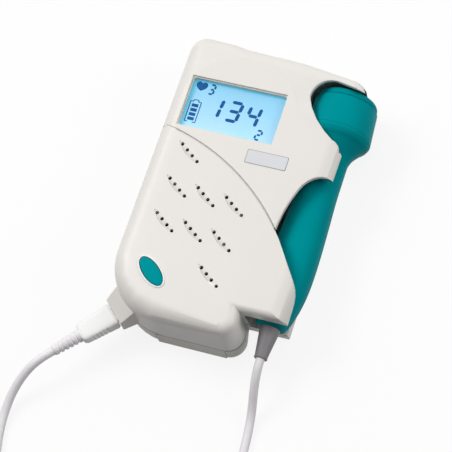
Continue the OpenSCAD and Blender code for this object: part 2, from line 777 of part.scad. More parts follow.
function tangent(path, i) = unit(path[min(i + 1, len(path) - 1)] - path[max(i - 1, 0)]);

// Tube swept along a path, each ring square to it with one corner straight down
module tube(path, d, sides) {
    rings = [for (i = [0:len(path) - 1])
        let (t = i == 0 ? unit(path[1] - path[0]) : tangent(path, i),
            side = unit(cross(t, [0, 0, 1])), up = cross(side, t))
        for (k = [0:sides - 1]) let (a = 90 + 360 * k / sides)
            path[i] + d / 2 * (cos(a) * side + sin(a) * up)];
    last = (len(path) - 1) * sides;
    walls = [for (i = [0:len(path) - 2], k = [0:sides - 1])
        let (p = i * sides + k, q = i * sides + (k + 1) % sides)
        each [[p, q, q + sides], [p, q + sides, p + sides]]];
    near = [for (k = [1:sides - 2]) [0, k + 1, k]];
    far = [for (k = [1:sides - 2]) [last, last + k, last + k + 1]];
    polyhedron([for (r = rings) r], concat(walls, near, far));
}

module probe_cord() {
    color(pale) tube(cord_a, cord_d, cord_sides);
}

// Coil: spirals in on the floor and out again on top, and climbs in the half turn where it reverses
function coil_point(t) = let (r = coil_out - coil_pitch * min(t, coil_turns - t), a = -360 * t)
    [coil_at[0] + r * cos(a), coil_at[1] + r * sin(a),
        low_z + rise * smooth((t - coil_turns / 2) * 2 + 0.5)];

coil_path = concat([cord_a[len(cord_a) - 1]],
    [for (i = [0:coil_turns * coil_rings]) coil_point(i / coil_rings)], [cord_b[0]]);

// Least distance between stretches of the coil that are at least half a turn apart, less the cord
function coil_gap(path) = min([for (i = [0:3:len(path) - 1], j = [i + coil_rings / 2:1:len(path) - 1])
    norm(path[i] - path[j])]) - cord_d;
echo(coil_gap = coil_gap(coil_path));

module cord_coil() {
    color(pale) tube(coil_path, cord_d, coil_sides);
}

module plug_cord() {
    color(pale) tube(concat(cord_b, [plug_end + 0.1 * plug_way]), cord_d, cord_sides);
}

boot2_l = 14; // length of the plug's own strain relief
plug_out = plug_l + boot2_l;
plug_way = [cos(socket_turn), sin(socket_turn), 0];
plug_end = socket_at - [mid_x, mid_y, 0] + plug_out * plug_way;

module plug_grip() {
    color(pale) placed() at_socket() hull() {
        translate([0.3, -plug_w / 2, -plug_t / 2 + 1.6]) cube([1, plug_w, plug_t - 3.2]);
        translate([0.3, -plug_w / 2 + 1.6, -plug_t / 2]) cube([1, plug_w - 3.2, plug_t]);
        translate([plug_l - 1, -plug_w / 2 + 1.2, -plug_t / 2 + 1.9]) cube([1, plug_w - 2.4, plug_t - 3.8]);
        translate([plug_l - 1, -plug_w / 2 + 2.6, -plug_t / 2 + 0.6]) cube([1, plug_w - 5.2, plug_t - 1.2]);
    }
}

module plug_boot() {
    color(pale) placed() at_socket() translate([plug_l, 0, 0]) rotate([0, 90, 0]) rotate_extrude()
        polygon([[0, 0], [3.2, 0], [3.1, 3], [2.5, boot2_l - 0.4], [2.3, boot2_l], [0, boot2_l]]);
}

module plug_shell() {
    color(metal) placed() at_socket() difference() {
        translate([-7.6, -plug_w / 2 + 2.3, -plug_t / 2 + 2]) cube([7.9, plug_w - 4.6, plug_t - 4]);
        translate([-8, -plug_w / 2 + 2.8, -plug_t / 2 + 2.5]) cube([7, plug_w - 5.6, plug_t - 5]);
    }
}

module plug_pins() {
    color([0.83, 0.69, 0.22]) placed() at_socket() for (i = [-2:2])
        translate([-6.6, i * 1.25 - 0.3, -0.5]) cube([5.6, 0.6, 1]);
}

front_upper();
front_lower();
rear_case();
display_window();
lcd_glass();
backlight();
display_frame();
main_board();
board_chips();
speaker_frame();
speaker_cone();
speaker_magnet();
key_board();
button_switch();
start_button();
volume_pot();
volume_wheel();
earphone_jack();
probe_socket();
battery_door();
battery_cells();
battery_contacts();
case_screws();
handle_front();
handle_back();
head_cup();
head_cap();
probe_lens();
crystals();
backing_disc();
probe_board();
cord_boot();
probe_cord();
cord_coil();
plug_cord();
plug_grip();
plug_boot();
plug_shell();
plug_pins();
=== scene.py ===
import logging
import math
from dataclasses import dataclass, field
from enum import Enum
from functools import cache, partialmethod
from typing import Iterable, Sequence

import bmesh
import bpy
import numpy as np
from mathutils import Matrix, Vector


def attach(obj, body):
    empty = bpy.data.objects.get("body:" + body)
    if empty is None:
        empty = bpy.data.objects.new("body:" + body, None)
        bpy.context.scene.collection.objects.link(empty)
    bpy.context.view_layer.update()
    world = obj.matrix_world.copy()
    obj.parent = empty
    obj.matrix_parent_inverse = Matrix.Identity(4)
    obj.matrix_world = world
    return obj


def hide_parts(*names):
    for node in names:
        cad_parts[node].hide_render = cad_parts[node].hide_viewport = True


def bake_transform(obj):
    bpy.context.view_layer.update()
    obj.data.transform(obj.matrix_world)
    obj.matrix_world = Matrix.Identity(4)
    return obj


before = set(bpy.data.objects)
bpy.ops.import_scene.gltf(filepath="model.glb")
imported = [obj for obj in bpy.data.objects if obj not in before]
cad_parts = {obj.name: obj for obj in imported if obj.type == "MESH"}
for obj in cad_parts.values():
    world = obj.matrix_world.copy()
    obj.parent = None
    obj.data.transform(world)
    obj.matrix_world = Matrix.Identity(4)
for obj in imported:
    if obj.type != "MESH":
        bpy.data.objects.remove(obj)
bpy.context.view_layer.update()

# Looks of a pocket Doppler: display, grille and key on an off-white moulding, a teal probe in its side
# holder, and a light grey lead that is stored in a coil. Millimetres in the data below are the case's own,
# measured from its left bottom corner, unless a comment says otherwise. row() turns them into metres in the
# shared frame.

log = logging.getLogger("scene")

MM = 0.001
MID = np.array([46.4, 69.1971, 0.0])
BEYOND = 1000.0
TOP_Y = 139.6
FRONT_Z = 34.0
EDGE_ROLL = 8.0
PARTING_Z = 10.0
PROBE_X = 77.7
PROBE_Z = 17.2
HEAD_R = 14.8
HEAD_FLARE = 1.1
HEAD_TOP = TOP_Y - 9.8
HEAD_SEAM = HEAD_TOP - 4.0
HEAD_BASE = TOP_Y - 30.8
NECK_Y = TOP_Y - 44.1
TAIL_X = PROBE_X - 2.1
TAIL_Y = 13.0
BOOT_L = 14.7
WINDOW_AT = np.array([31.1, TOP_Y - 34.4])
WINDOW = np.array([45.6, 25.4])
PANEL_Z = 30.6
BUTTON_AT = np.array([20.0, 20.2])
BUTTON_TURN = math.radians(-40.5)
SEAM_CENTRE = (-17.0, -17.0)
SEAM_RADIUS = 110.0
SOCKET_AT = np.array([4.6, 2.9, 14.2])
SOCKET_TURN = math.radians(227)
SOCKET_WAY = np.array([math.cos(SOCKET_TURN), math.sin(SOCKET_TURN), 0.0])
PLUG_L = 18.0
PLUG_BOOT_L = 14.0
CORD_D = 4.0

Point = tuple[float, ...]
Table = tuple[Point, ...]
Rgb = tuple[float, float, float]
Inputs = dict[str, object]


def srgb(red: int, green: int, blue: int) -> Rgb:
    """Linear colour of an 8-bit display colour."""
    shares = (channel / 255 for channel in (red, green, blue))
    return tuple(((c + 0.055) / 1.055) ** 2.4 if c > 0.04 else c / 12.92 for c in shares)


def row(points: Sequence | np.ndarray) -> np.ndarray:
    """Case millimetres as metres in the shared frame, for one point or a table of them."""
    return (np.asarray(points, float) - MID) * MM


class Body(str, Enum):
    """Bodies that new pieces ride on."""

    UNIT = "unit"
    PROBE = "probe"
    KEY = "start_button"
    PLUG = "plug"


@dataclass(frozen=True)
class Value:
    """Output of a node, which the usual signs reckon with."""

    graph: "Graph"
    socket: bpy.types.NodeSocket

    def math(self, operation: str, *others: "Value | float") -> "Value":
        """Result of a maths node on this value and others; most() and the signs are shorter for it."""
        return self.graph.value("ShaderNodeMath", dict(enumerate((self, *others))), operation=operation)

    most = partialmethod(math, "MAXIMUM")
    __add__ = partialmethod(math, "ADD")
    __sub__ = partialmethod(math, "SUBTRACT")
    __mul__ = partialmethod(math, "MULTIPLY")
    __gt__ = partialmethod(math, "GREATER_THAN")
    __lt__ = partialmethod(math, "LESS_THAN")


class Graph:
    """Short way to build the nodes of a material, a world or a modifier."""

    def __init__(self, tree: bpy.types.NodeTree) -> None:
        """Starts with an empty tree."""
        tree.nodes.clear()
        self.tree = tree

    def add(self, kind: str, sockets: dict | None = None, **settings: object) -> bpy.types.Node:
        """Adds a node.

        Args:
            kind: Blender's name of the node type.
            sockets: Values to link, or plain ones to set, by the input's name or number.
            **settings: Properties of the node.

        Returns:
            The new node.
        """
        node = self.tree.nodes.new(kind)
        for name, setting in settings.items():
            setattr(node, name, setting)
        for key, given in (sockets or {}).items():
            if isinstance(given, Value):
                self.tree.links.new(given.socket, node.inputs[key])
            else:
                node.inputs[key].default_value = given
        return node

    def value(self, kind: str, sockets: dict | None = None, output: int | str = 0,
              **settings: object) -> Value:
        """Adds a node as add() does, and returns one of its outputs."""
        return Value(self, self.add(kind, sockets, **settings).outputs[output])

    def split(self, vector: Value) -> list[Value]:
        """The three coordinates of a vector."""
        return [Value(self, part) for part in self.add("ShaderNodeSeparateXYZ", {0: vector}).outputs]

    def fade(self, value: Value, start: float, end: float, low: float = 0.0, high: float = 1.0,
             smooth: bool = False) -> Value:
        """Ramp from low at its start to high at its end, level outside, and slow to set in if smooth."""
        return self.value("ShaderNodeMapRange", {0: value, 1: start, 2: end, 3: low, 4: high},
                          interpolation_type="SMOOTHSTEP" if smooth else "LINEAR")

    def distance(self, place: Sequence[Value], centre: Point) -> Value:
        """Distance in plan from a centre given in case millimetres: root of the sum of both squares."""
        x, y = (part - middle for part, middle in zip(place, row([*centre, 0])[:2]))
        return (x * x + y * y).math("SQRT")

    def within(self, place: Sequence[Value], low: Point, high: Point) -> Value:
        """1 inside a box that is given by two corners in case millimetres, else 0."""
        x, y, z = ((part > a) * (part < b) for part, a, b in zip(place, row(low), row(high)))
        return x * y * z


class Paint(Graph):
    """Nodes of a new material, in the object's coordinates."""

    def __init__(self, name: str) -> None:
        """Starts an empty material.

        Args:
            name: Name of the material.
        """
        self.material = bpy.data.materials.new(name)
        self.material.use_nodes = True
        super().__init__(self.material.node_tree)
        self.coords = self.value("ShaderNodeTexCoord", output="Object")
        self.place = self.split(self.coords)

    def noise(self, size_mm: float, detail: float = 2.0, stretch: Point = (1, 1, 1)) -> Value:
        """Noise with blotches of that size and so many octaves, its coordinates scaled along each axis."""
        place = self.value("ShaderNodeMapping", {"Vector": self.coords, "Scale": stretch})
        return self.value("ShaderNodeTexNoise", {"Vector": place, "Scale": 1000 / size_mm, "Detail": detail})

    def spread(self, noise: Value, low: float, high: float) -> Value:
        """The middle part of a noise, mapped to a range."""
        return self.fade(noise, 0.3, 0.7, low, high)

    def normal(self, height: Value, depth: float, **under: Value) -> Value:
        """Normal of a relief with that height and depth, over another normal if one is given."""
        return self.value("ShaderNodeBump", {"Strength": 1.0, "Distance": depth, "Height": height, **under})

    def tint(self, share: Value, low: Rgb | Value, high: Rgb | Value) -> Value:
        """Mix of two colours, low at 0 and high at 1."""
        ends = [end if isinstance(end, Value) else (*end, 1) for end in (low, high)]
        return self.value("ShaderNodeMix", {0: share, 6: ends[0], 7: ends[1]}, 2, data_type="RGBA")


@dataclass(frozen=True)
class Finish:
    """Moulded surface with slow mottling, fine grain and uneven gloss."""

    name: str
    colour: Rgb
    roughness: float = 0.42
    gloss_spread: float = 0.05
    grain_mm: float = 0.45
    depth_mm: float = 0.012
    mottle: float = 0.03
    mottle_mm: float = 22.0
    metallic: float = 0.0
    specular: float = 0.5
    sheen: Rgb = (1.0, 1.0, 1.0)
    octaves: float = 3.0
    along: Point = (1, 1, 1)

    @cache
    def material(self) -> bpy.types.Material:
        """The material, built at the first call.

        Returns:
            The material.
        """
        paint = Paint(self.name)
        colour = self.tone(paint)
        gloss = paint.spread(paint.noise(self.grain_mm * 6, 3), self.roughness - self.gloss_spread,
                             self.roughness + self.gloss_spread)
        shader = paint.value("ShaderNodeBsdfPrincipled", {
            "Base Color": colour, "Roughness": gloss, "Normal": self.bump(paint), "Metallic": self.metallic,
            "Specular IOR Level": self.specular, "Specular Tint": (*self.sheen, 1),
            **self.extras(paint, colour)})
        paint.add("ShaderNodeOutputMaterial", {0: shader})
        return paint.material

    def tone(self, paint: Paint) -> Value:
        """Base colour with slow mottling."""
        low, high = (tuple(min(1, c * (1 + way * self.mottle)) for c in self.colour) for way in (-1, 1))
        return paint.tint(paint.spread(paint.noise(self.mottle_mm), 0, 1), low, high)

    def bump(self, paint: Paint) -> Value:
        """Normal with fine grain."""
        return paint.normal(paint.noise(self.grain_mm, self.octaves, self.along), self.depth_mm * MM)

    def extras(self, paint: Paint, colour: Value) -> Inputs:
        """Further inputs of the shader, none for a plain finish."""
        return {}


@dataclass(frozen=True)
class GapShaded(Finish):
    """Moulding with painted shade, darker near the height of the parting gap between the front and rear
    shells.
    """

    # Painted shade: the colour of the shadowed parting gap.
    gap: Rgb = (0.12, 0.1, 0.09)
    gap_z: float = PARTING_Z + 0.18
    gap_mm: Point = (0.26, 0.45)

    def tone(self, paint: Paint) -> Value:
        """Base colour with painted shade near the height of the gap."""
        away = (paint.place[2] - self.gap_z * MM).math("ABSOLUTE")
        return paint.tint(paint.fade(away, *(at * MM for at in self.gap_mm)), self.gap, super().tone(paint))


@dataclass(frozen=True)
class ShadedFront(GapShaded):
    """Front moulding with painted shade on its inner faces over the probe and in the grille's hollows."""

    # Painted shade: the first colour on the inner faces over the probe, the next two on the grille hollows'
    # slopes that face +X and +Y and on their deep parts.
    inside: Rgb = (0.14, 0.14, 0.135)
    slope: Rgb = (0.6, 0.59, 0.56)
    hollow_floor_shade: Rgb = (0.58, 0.57, 0.53)
    room: Table = ((62, 24.5, 0), (BEYOND, BEYOND, 31.6))
    room_fade: Table = ((58.7, 0, 0), (76, 0, 0))
    left_wall: Point = (69, 0, 0)
    leaning: float = 0.3
    grille: Table = ((9, 22, 32.5), (68, 98, 33.96))
    hollow_z: tuple[float, float] = (33.9, 33.45)

    def tone(self, paint: Paint) -> Value:
        """Base colour, mixed with the three colours of painted shade by place and slope.

        Args:
            paint: The material's nodes.

        Returns:
            The colour.
        """
        x, _, z = paint.place
        lean = paint.split(paint.value("ShaderNodeNewGeometry", output="True Normal"))
        hollow = paint.within(paint.place, *self.grille)
        slope = paint.fade(lean[0] * 0.75 + lean[1] * 0.65, 0.0, 0.4)
        depth = paint.fade(z, *(level * MM for level in self.hollow_z))
        left = (lean[0] > self.leaning) * (x < row(self.left_wall)[0])
        inner = (lean[1] < -self.leaning).most(lean[2] < -self.leaning).most(left)
        inner = inner * paint.within(paint.place, *self.room) * paint.fade(x, *row(self.room_fade)[:, 0])
        # Painted shade by slope and depth in the hollows, and on the inner faces over the probe.
        colour = paint.tint(slope * hollow, super().tone(paint), self.slope)
        return paint.tint(inner, paint.tint(depth * hollow, colour, self.hollow_floor_shade), self.inside)


@dataclass(frozen=True)
class Arched(ShadedFront):
    """Front moulding that falls away a little outside a faint arch over the display."""

    centre: Point = (33.0, 103.8)
    radius_mm: float = 28.2
    drop_mm: float = 0.5
    slow_mm: float = 5.0
    quick_mm: float = 0.6
    upper_mm: Point = (7, 13)

    def bump(self, paint: Paint) -> Value:
        """Grain over a height that falls with the distance past the arch, as a slow and a quick exponential.

        Args:
            paint: The material's nodes.

        Returns:
            The normal.
        """
        past = (paint.distance(paint.place, self.centre) - self.radius_mm * MM).most(0.0)
        slow, quick = ((past * (-1 / (reach * MM))).math("EXPONENT") - 1.0
                       for reach in (self.slow_mm, self.quick_mm))
        above = paint.place[1] - row([*self.centre, 0])[1]
        upper = paint.fade(above, *(at * MM for at in self.upper_mm), smooth=True)
        height = (slow + quick * 0.3) * upper * (self.drop_mm * MM)
        return paint.normal(height, 1.0, Normal=super().bump(paint))


@dataclass(frozen=True)
class Brushed(Finish):
    """Drawn or rolled metal, with its lines along one axis."""

    octaves: float = 4.0
    along: Point = (1, 0.06, 1)


@dataclass(frozen=True)
class Clear(Finish):
    """Clear pane with slightly uneven gloss."""

    alpha: float = 0.02
    index: float = 1.49

    def extras(self, paint: Paint, colour: Value) -> Inputs:
        """How clear it is, and how it bends light."""
        return {"Alpha": self.alpha, "IOR": self.index}


@dataclass(frozen=True)
class Lit(Finish):
    """Lit panel, deeper in colour along its left and upper edges, where the recess shades it."""

    edge: Rgb = (0.0, 0.5, 1.0)
    low: Rgb = (0.5, 0.8, 1.0)
    strength: float = 0.3
    left_share: float = 0.5
    upper_share: float = 0.95
    edge_mm: Point = (-0.6, 2)

    def tone(self, paint: Paint) -> Value:
        """Colour by height, mixed with the edge's colour by the nearest of both edges, with soft blotches.

        Args:
            paint: The material's nodes.

        Returns:
            The colour.
        """
        x, y, _ = paint.place
        low, high = row([[*(WINDOW_AT - WINDOW / 2), 0], [*(WINDOW_AT + WINDOW / 2), 0]])
        near = ((x - low[0]) * self.left_share).math("MINIMUM", (y - high[1]) * -self.upper_share)
        inner = paint.fade(near, *(at * MM for at in self.edge_mm), smooth=True)
        inner = inner * paint.spread(paint.noise(14), 0.86, 1.0)
        return paint.tint(inner, self.edge, paint.tint(paint.fade(y, low[1], high[1]), self.low, self.colour))

    def extras(self, paint: Paint, colour: Value) -> Inputs:
        """Glow in the same colour."""
        return {"Emission Color": colour, "Emission Strength": self.strength}


@dataclass(frozen=True)
class Ink(Finish):
    """Dark segment of the display, which the backlight shines through a little."""

    glow: Rgb = srgb(6, 98, 160)
    strength: float = 0.45

    def extras(self, paint: Paint, colour: Value) -> Inputs:
        """Glow in soft blotches."""
        shine = paint.tint(paint.spread(paint.noise(9), 0, 1), self.colour, self.glow)
        return {"Emission Color": shine, "Emission Strength": self.strength}


@dataclass(frozen=True)
class Board(Finish):
    """Solder mask over faint copper tracks."""

    track: Rgb = (0.1, 0.35, 0.18)

    def tone(self, paint: Paint) -> Value:
        """Mask with the lines of a brick pattern as tracks."""
        mask, track = (*self.colour, 1), (*self.track, 1)
        return paint.value("ShaderNodeTexBrick", {"Vector": paint.coords, "Scale": 260.0, "Mortar Size": 0.05,
                                                  "Color1": mask, "Color2": mask, "Mortar": track})


@dataclass(frozen=True)
class Wrapped(Finish):
    """Plain cell wrapping with a second colour at one end."""

    band: Rgb = (0.6, 0.4, 0.2)
    band_from: Point = (0, 45, 0)

    def tone(self, paint: Paint) -> Value:
        """Wrapping's colour, and the band's beyond its start."""
        return paint.tint(paint.place[1] > row(self.band_from)[1], self.colour, self.band)


# SHELL and SHELL_ARCHED carry painted shade in the parting gap, the grille's hollows and on the inner faces
# over the probe; SHELL_REAR carries it in the parting gap.
SHELL = ShadedFront("shell", srgb(240, 237, 232), 0.42, depth_mm=0.01, mottle=0.008)
SHELL_ARCHED = Arched("shell_arched", srgb(240, 237, 232), 0.42, depth_mm=0.01, mottle=0.008)
# The bead's colour is a whiter copy of the shell colour: a painted highlight on the moulded bead.
LIGHTENED_BEAD = Finish("key_rim_highlight", srgb(252, 252, 252), 0.35, depth_mm=0.004, mottle=0.005)
SHELL_REAR = GapShaded("shell_rear", srgb(238, 235, 229), 0.46, grain_mm=0.6, depth_mm=0.02, mottle=0.01)
WINDOW_CLEAR = Clear("window", srgb(200, 220, 232), 0.08, 0.02, grain_mm=3.0, depth_mm=0.001)
PANEL = Lit("lcd", srgb(138, 198, 230), 0.4, specular=0.1, edge=srgb(100, 222, 255), low=srgb(176, 218, 244))
SEGMENT = Ink("lcd_ink", srgb(0, 72, 132), 0.5, specular=0.0, mottle=0.14, mottle_mm=7)
DIFFUSER = Finish("diffuser", srgb(244, 246, 248), 0.5)
BLACK = Finish("black_plastic", srgb(34, 34, 36), 0.55, depth_mm=0.02, mottle=0.1)
BOARD = Board("board", srgb(22, 92, 56), 0.35, track=srgb(44, 124, 78))
CHIP = Finish("chip", srgb(44, 44, 47), 0.6, grain_mm=0.2, mottle=0.12, mottle_mm=4)
STEEL = Brushed("steel", srgb(196, 196, 192), 0.3, metallic=1.0, grain_mm=0.25, depth_mm=0.004)
CONE = Finish("cone_paper", srgb(52, 52, 55), 0.85, grain_mm=0.8, depth_mm=0.05, mottle=0.15, mottle_mm=5)
MAGNET = Finish("magnet", srgb(120, 120, 124), 0.4, metallic=0.8)
KEY = Finish("teal_key", srgb(0, 152, 160), 0.4, 0.03, specular=0.1, sheen=(0.0, 0.8, 0.9), depth_mm=0.004,
             mottle_mm=8)
WHEEL = Finish("dark_wheel", srgb(84, 86, 88), 0.5, mottle=0.08)
CELL = Wrapped("cell_wrap", srgb(58, 62, 72), 0.3, band=srgb(196, 150, 96))
SPRING = Brushed("spring_steel", srgb(206, 204, 196), 0.25, metallic=1.0, grain_mm=0.2, depth_mm=0.003)
TEAL = Finish("teal_shell", srgb(0, 152, 160), 0.4, 0.04, specular=0.03, sheen=(0.0, 0.8, 0.85),
              depth_mm=0.008, mottle=0.025)
LENS = Finish("lens_face", srgb(206, 207, 206), 0.5, depth_mm=0.01, mottle_mm=9)
PIEZO = Finish("piezo", srgb(214, 190, 140), 0.4, mottle=0.06, mottle_mm=3)
BOOT = Finish("boot_rubber", srgb(134, 131, 134), 0.55, grain_mm=0.4, depth_mm=0.02, mottle_mm=6)
CORD = Finish("cord", srgb(246, 244, 247), 0.5, grain_mm=0.5, depth_mm=0.015, mottle_mm=12)
PLUG = Finish("plug_plastic", srgb(250, 250, 250), 0.4, depth_mm=0.01, mottle=0.015)
STRAP = Finish("tie_strap", srgb(70, 71, 74), 0.8, grain_mm=0.5, depth_mm=0.06, mottle=0.15, mottle_mm=2)
GILT = Finish("contact_gold", srgb(222, 190, 118), 0.25, metallic=1.0)
PLATE = Brushed("plate_foil", srgb(226, 228, 233), 0.32, grain_mm=0.3, depth_mm=0.003, mottle=0.015,
                along=(0.05, 1, 1))
# The display rim's colour is the shell colour darkened and warmed: painted shade for the recess wall.
SHADED_RIM = Finish("display_rim", srgb(228, 218, 203), 0.6, mottle=0.02)
PLATE_EDGE = Finish("plate_edge", srgb(150, 150, 148), 0.45)


@dataclass
class Surface:
    """Points and faces of a mesh, in case millimetres."""

    points: np.ndarray
    faces: list[tuple[int, ...]] = field(default_factory=list)

    def __add__(self, other: "Surface") -> "Surface":
        """Both surfaces as one."""
        moved = [tuple(i + len(self.points) for i in face) for face in other.faces]
        return Surface(np.vstack([self.points, other.points]), self.faces + moved)

    def moved(self, shift: Sequence[float], axes: Sequence | np.ndarray = np.eye(3)) -> "Surface":
        """The surface with its three axes turned to the rows of a table, and then shifted."""
        return Surface(self.points @ np.asarray(axes) + shift, self.faces)

    def make(self, name: str, sharp: float = 40.0) -> bpy.types.Object:
        """Makes the object, with its faces turned outwards.

        Args:
            name: Name of the object.
            sharp: Edges steeper than this many degrees stay sharp.

        Returns:
            The object.
        """
        mesh = bpy.data.meshes.new(name)
        mesh.from_pydata(row(self.points).tolist(), [], self.faces)
        mesh.validate()
        turned = bmesh.new()
        turned.from_mesh(mesh)
        bmesh.ops.recalc_face_normals(turned, faces=turned.faces)
        turned.to_mesh(mesh)
        turned.free()
        mesh.shade_smooth()
        mesh.set_sharp_from_angle(angle=math.radians(sharp))
        made = bpy.data.objects.new(name, mesh)
        bpy.context.scene.collection.objects.link(made)
        return made


def skin(rings: np.ndarray, closed: bool = False) -> Surface:
    """Surface through closed rings: a face joins each two neighbours to the same two of the next ring.

    Args:
        rings: Array of rings, points and coordinates.
        closed: True if the last ring joins the first, False for a flat face on each.

    Returns:
        The surface.
    """
    m, n = rings.shape[:2]
    index = np.arange(m * n).reshape(m, n)
    index = np.hstack([index, index[:, :1]])
    if closed:
        index = np.vstack([index, index[:1]])
    quads = np.stack([index[:-1, :-1], index[:-1, 1:], index[1:, 1:], index[1:, :-1]], -1).reshape(-1, 4)
    ends = [] if closed else [tuple(range(n))[::-1], tuple(range((m - 1) * n, m * n))]
    return Surface(rings.reshape(-1, 3), [tuple(q) for q in quads.tolist()] + ends)


def loft(levels: Iterable[tuple[np.ndarray, float]], closed: bool = False) -> Surface:
    """Skin over flat outlines, each at its height; closed as in skin()."""
    rings = [np.column_stack([outline, np.full(len(outline), z)]) for outline, z in levels]
    return skin(np.stack(rings), closed)


def circle(steps: int) -> tuple[np.ndarray, np.ndarray]:
    """Cosines and sines of even steps of one turn."""
    turn = np.linspace(0, 2 * math.pi, steps, endpoint=False)
    return np.cos(turn), np.sin(turn)


def lathe(profile: np.ndarray, steps: int = 128, closed: bool = True) -> Surface:
    """Turned surface round the local Y axis: each profile row's radius times a circle, at its height."""
    (radius, height), (cos, sin) = profile.T[:, :, None], circle(steps)
    return skin(np.stack([radius * cos, height + 0 * cos, radius * sin], -1), closed)


def oblong(low: Point, high: Point, radius: float, steps: int = 5) -> np.ndarray:
    """Rectangle with round corners: corner + (1 - t)^2 before + t^2 after, the ways to the round's ends.

    Args:
        low: Its lower left corner.
        high: Its upper right corner.
        radius: Length of the round along each side.
        steps: Steps in each round.

    Returns:
        The outline's points.
    """
    corner = np.array([low, (high[0], low[1]), high, (low[0], high[1])], float)
    sides = np.roll(corner, -1, 0) - corner
    after = (sides / np.linalg.norm(sides, axis=1)[:, None] * radius)[:, None]
    before = -np.roll(after, 1, 0)
    t = np.linspace(0, 1, steps + 1)[:, None]
    return (corner[:, None] + (1 - t) ** 2 * before + t ** 2 * after).reshape(-1, 2)


def curve(points: np.ndarray, step: float) -> np.ndarray:
    """Smooth curve at even steps: cubics, with half the way between a point's neighbours as its slope.

    Args:
        points: Points on the curve.
        step: Distance between the results.

    Returns:
        Points along the curve.
    """
    p = np.vstack([2 * points[0] - points[1], points, 2 * points[-1] - points[-2]])[:, None]
    a, b, c, d = p[:-3], p[1:-2], p[2:-1], p[3:]
    t = np.linspace(0, 1, 24, endpoint=False)[:, None]
    fine = b + 0.5 * ((c - a) * t + (2 * a - 5 * b + 4 * c - d) * t ** 2 + (3 * b - a - 3 * c + d) * t ** 3)
    dense = np.vstack([fine.reshape(-1, points.shape[1]), points[-1:]])
    run = np.concatenate([[0], np.cumsum(np.linalg.norm(np.diff(dense, axis=0), axis=1))])
    at = np.linspace(0, run[-1], max(2, int(round(run[-1] / step)) + 1))
    return np.stack([np.interp(at, run, part) for part in dense.T], -1)


def spline(stations: np.ndarray, count: int) -> np.ndarray:
    """Rows of a table at even steps of its first column, on cubics through the rows and their slopes.

    Args:
        stations: Rows with a rising first column.
        count: Number of rows wanted.

    Returns:
        The finer table.
    """
    s = stations[:, 0]
    slope = np.gradient(stations[:, 1:], s, axis=0)
    at = np.linspace(s[0], s[-1], count)
    k = np.clip(np.searchsorted(s, at) - 1, 0, len(s) - 2)
    gap = (s[k + 1] - s[k])[:, None]
    t = (at - s[k])[:, None] / gap
    a, b = stations[k, 1:], stations[k + 1, 1:]
    value = ((2 * t ** 3 - 3 * t ** 2 + 1) * a + (t ** 3 - 2 * t ** 2 + t) * gap * slope[k]
             + (3 * t ** 2 - 2 * t ** 3) * b + (t ** 3 - t ** 2) * gap * slope[k + 1])
    return np.hstack([at[:, None], value])


def tube(path: np.ndarray, radius: float, sides: int = 16) -> Surface:
    """Round tube: each point's ring lies square to the path, with its first axis level.

    Args:
        path: Ring centres.
        radius: Radius of the tube.
        sides: Sides of the tube.

    Returns:
        The surface.
    """
    way = np.gradient(path, axis=0)
    way[0], way[-1] = path[1] - path[0], path[-1] - path[-2]
    side = np.cross(way, [0, 0, 1.0])
    up = np.cross(side, way)
    side, up = (axis / np.linalg.norm(axis, axis=1)[:, None] for axis in (side, up))
    cos, sin = circle(sides)
    return skin(path[:, None] + (cos[:, None] * side[:, None] + sin[:, None] * up[:, None]) * radius)


@dataclass
class Piece:
    """A new piece of the scene."""

    name: str
    surface: Surface
    finish: Finish
    body: Body = Body.UNIT
    stands_for: tuple[str, ...] = ()
    slot: str = ""
    sharp: float = 40.0
    bevel_mm: float = 0.0

    def make(self, rides: bool = True) -> bpy.types.Object:
        """Makes the object, with its finish and body, and hides the nodes it stands for.

        Args:
            rides: False to leave the piece unattached to any body.

        Returns:
            The object.
        """
        made = self.surface.make(self.name, self.sharp)
        made.data.materials.append(self.finish.material())
        if self.bevel_mm:
            ease = made.modifiers.new("ease", "BEVEL")
            ease.width, ease.segments = self.bevel_mm * MM, 3
            ease.limit_method, ease.angle_limit = "ANGLE", math.radians(35)
            made.modifiers.new("normals", "WEIGHTED_NORMAL").keep_sharp = False
        if rides:
            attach(made, self.body.value)
        if self.stands_for:
            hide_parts(*self.stands_for)
        log.info("%s: %d faces", self.name, len(self.surface.faces))
        return made


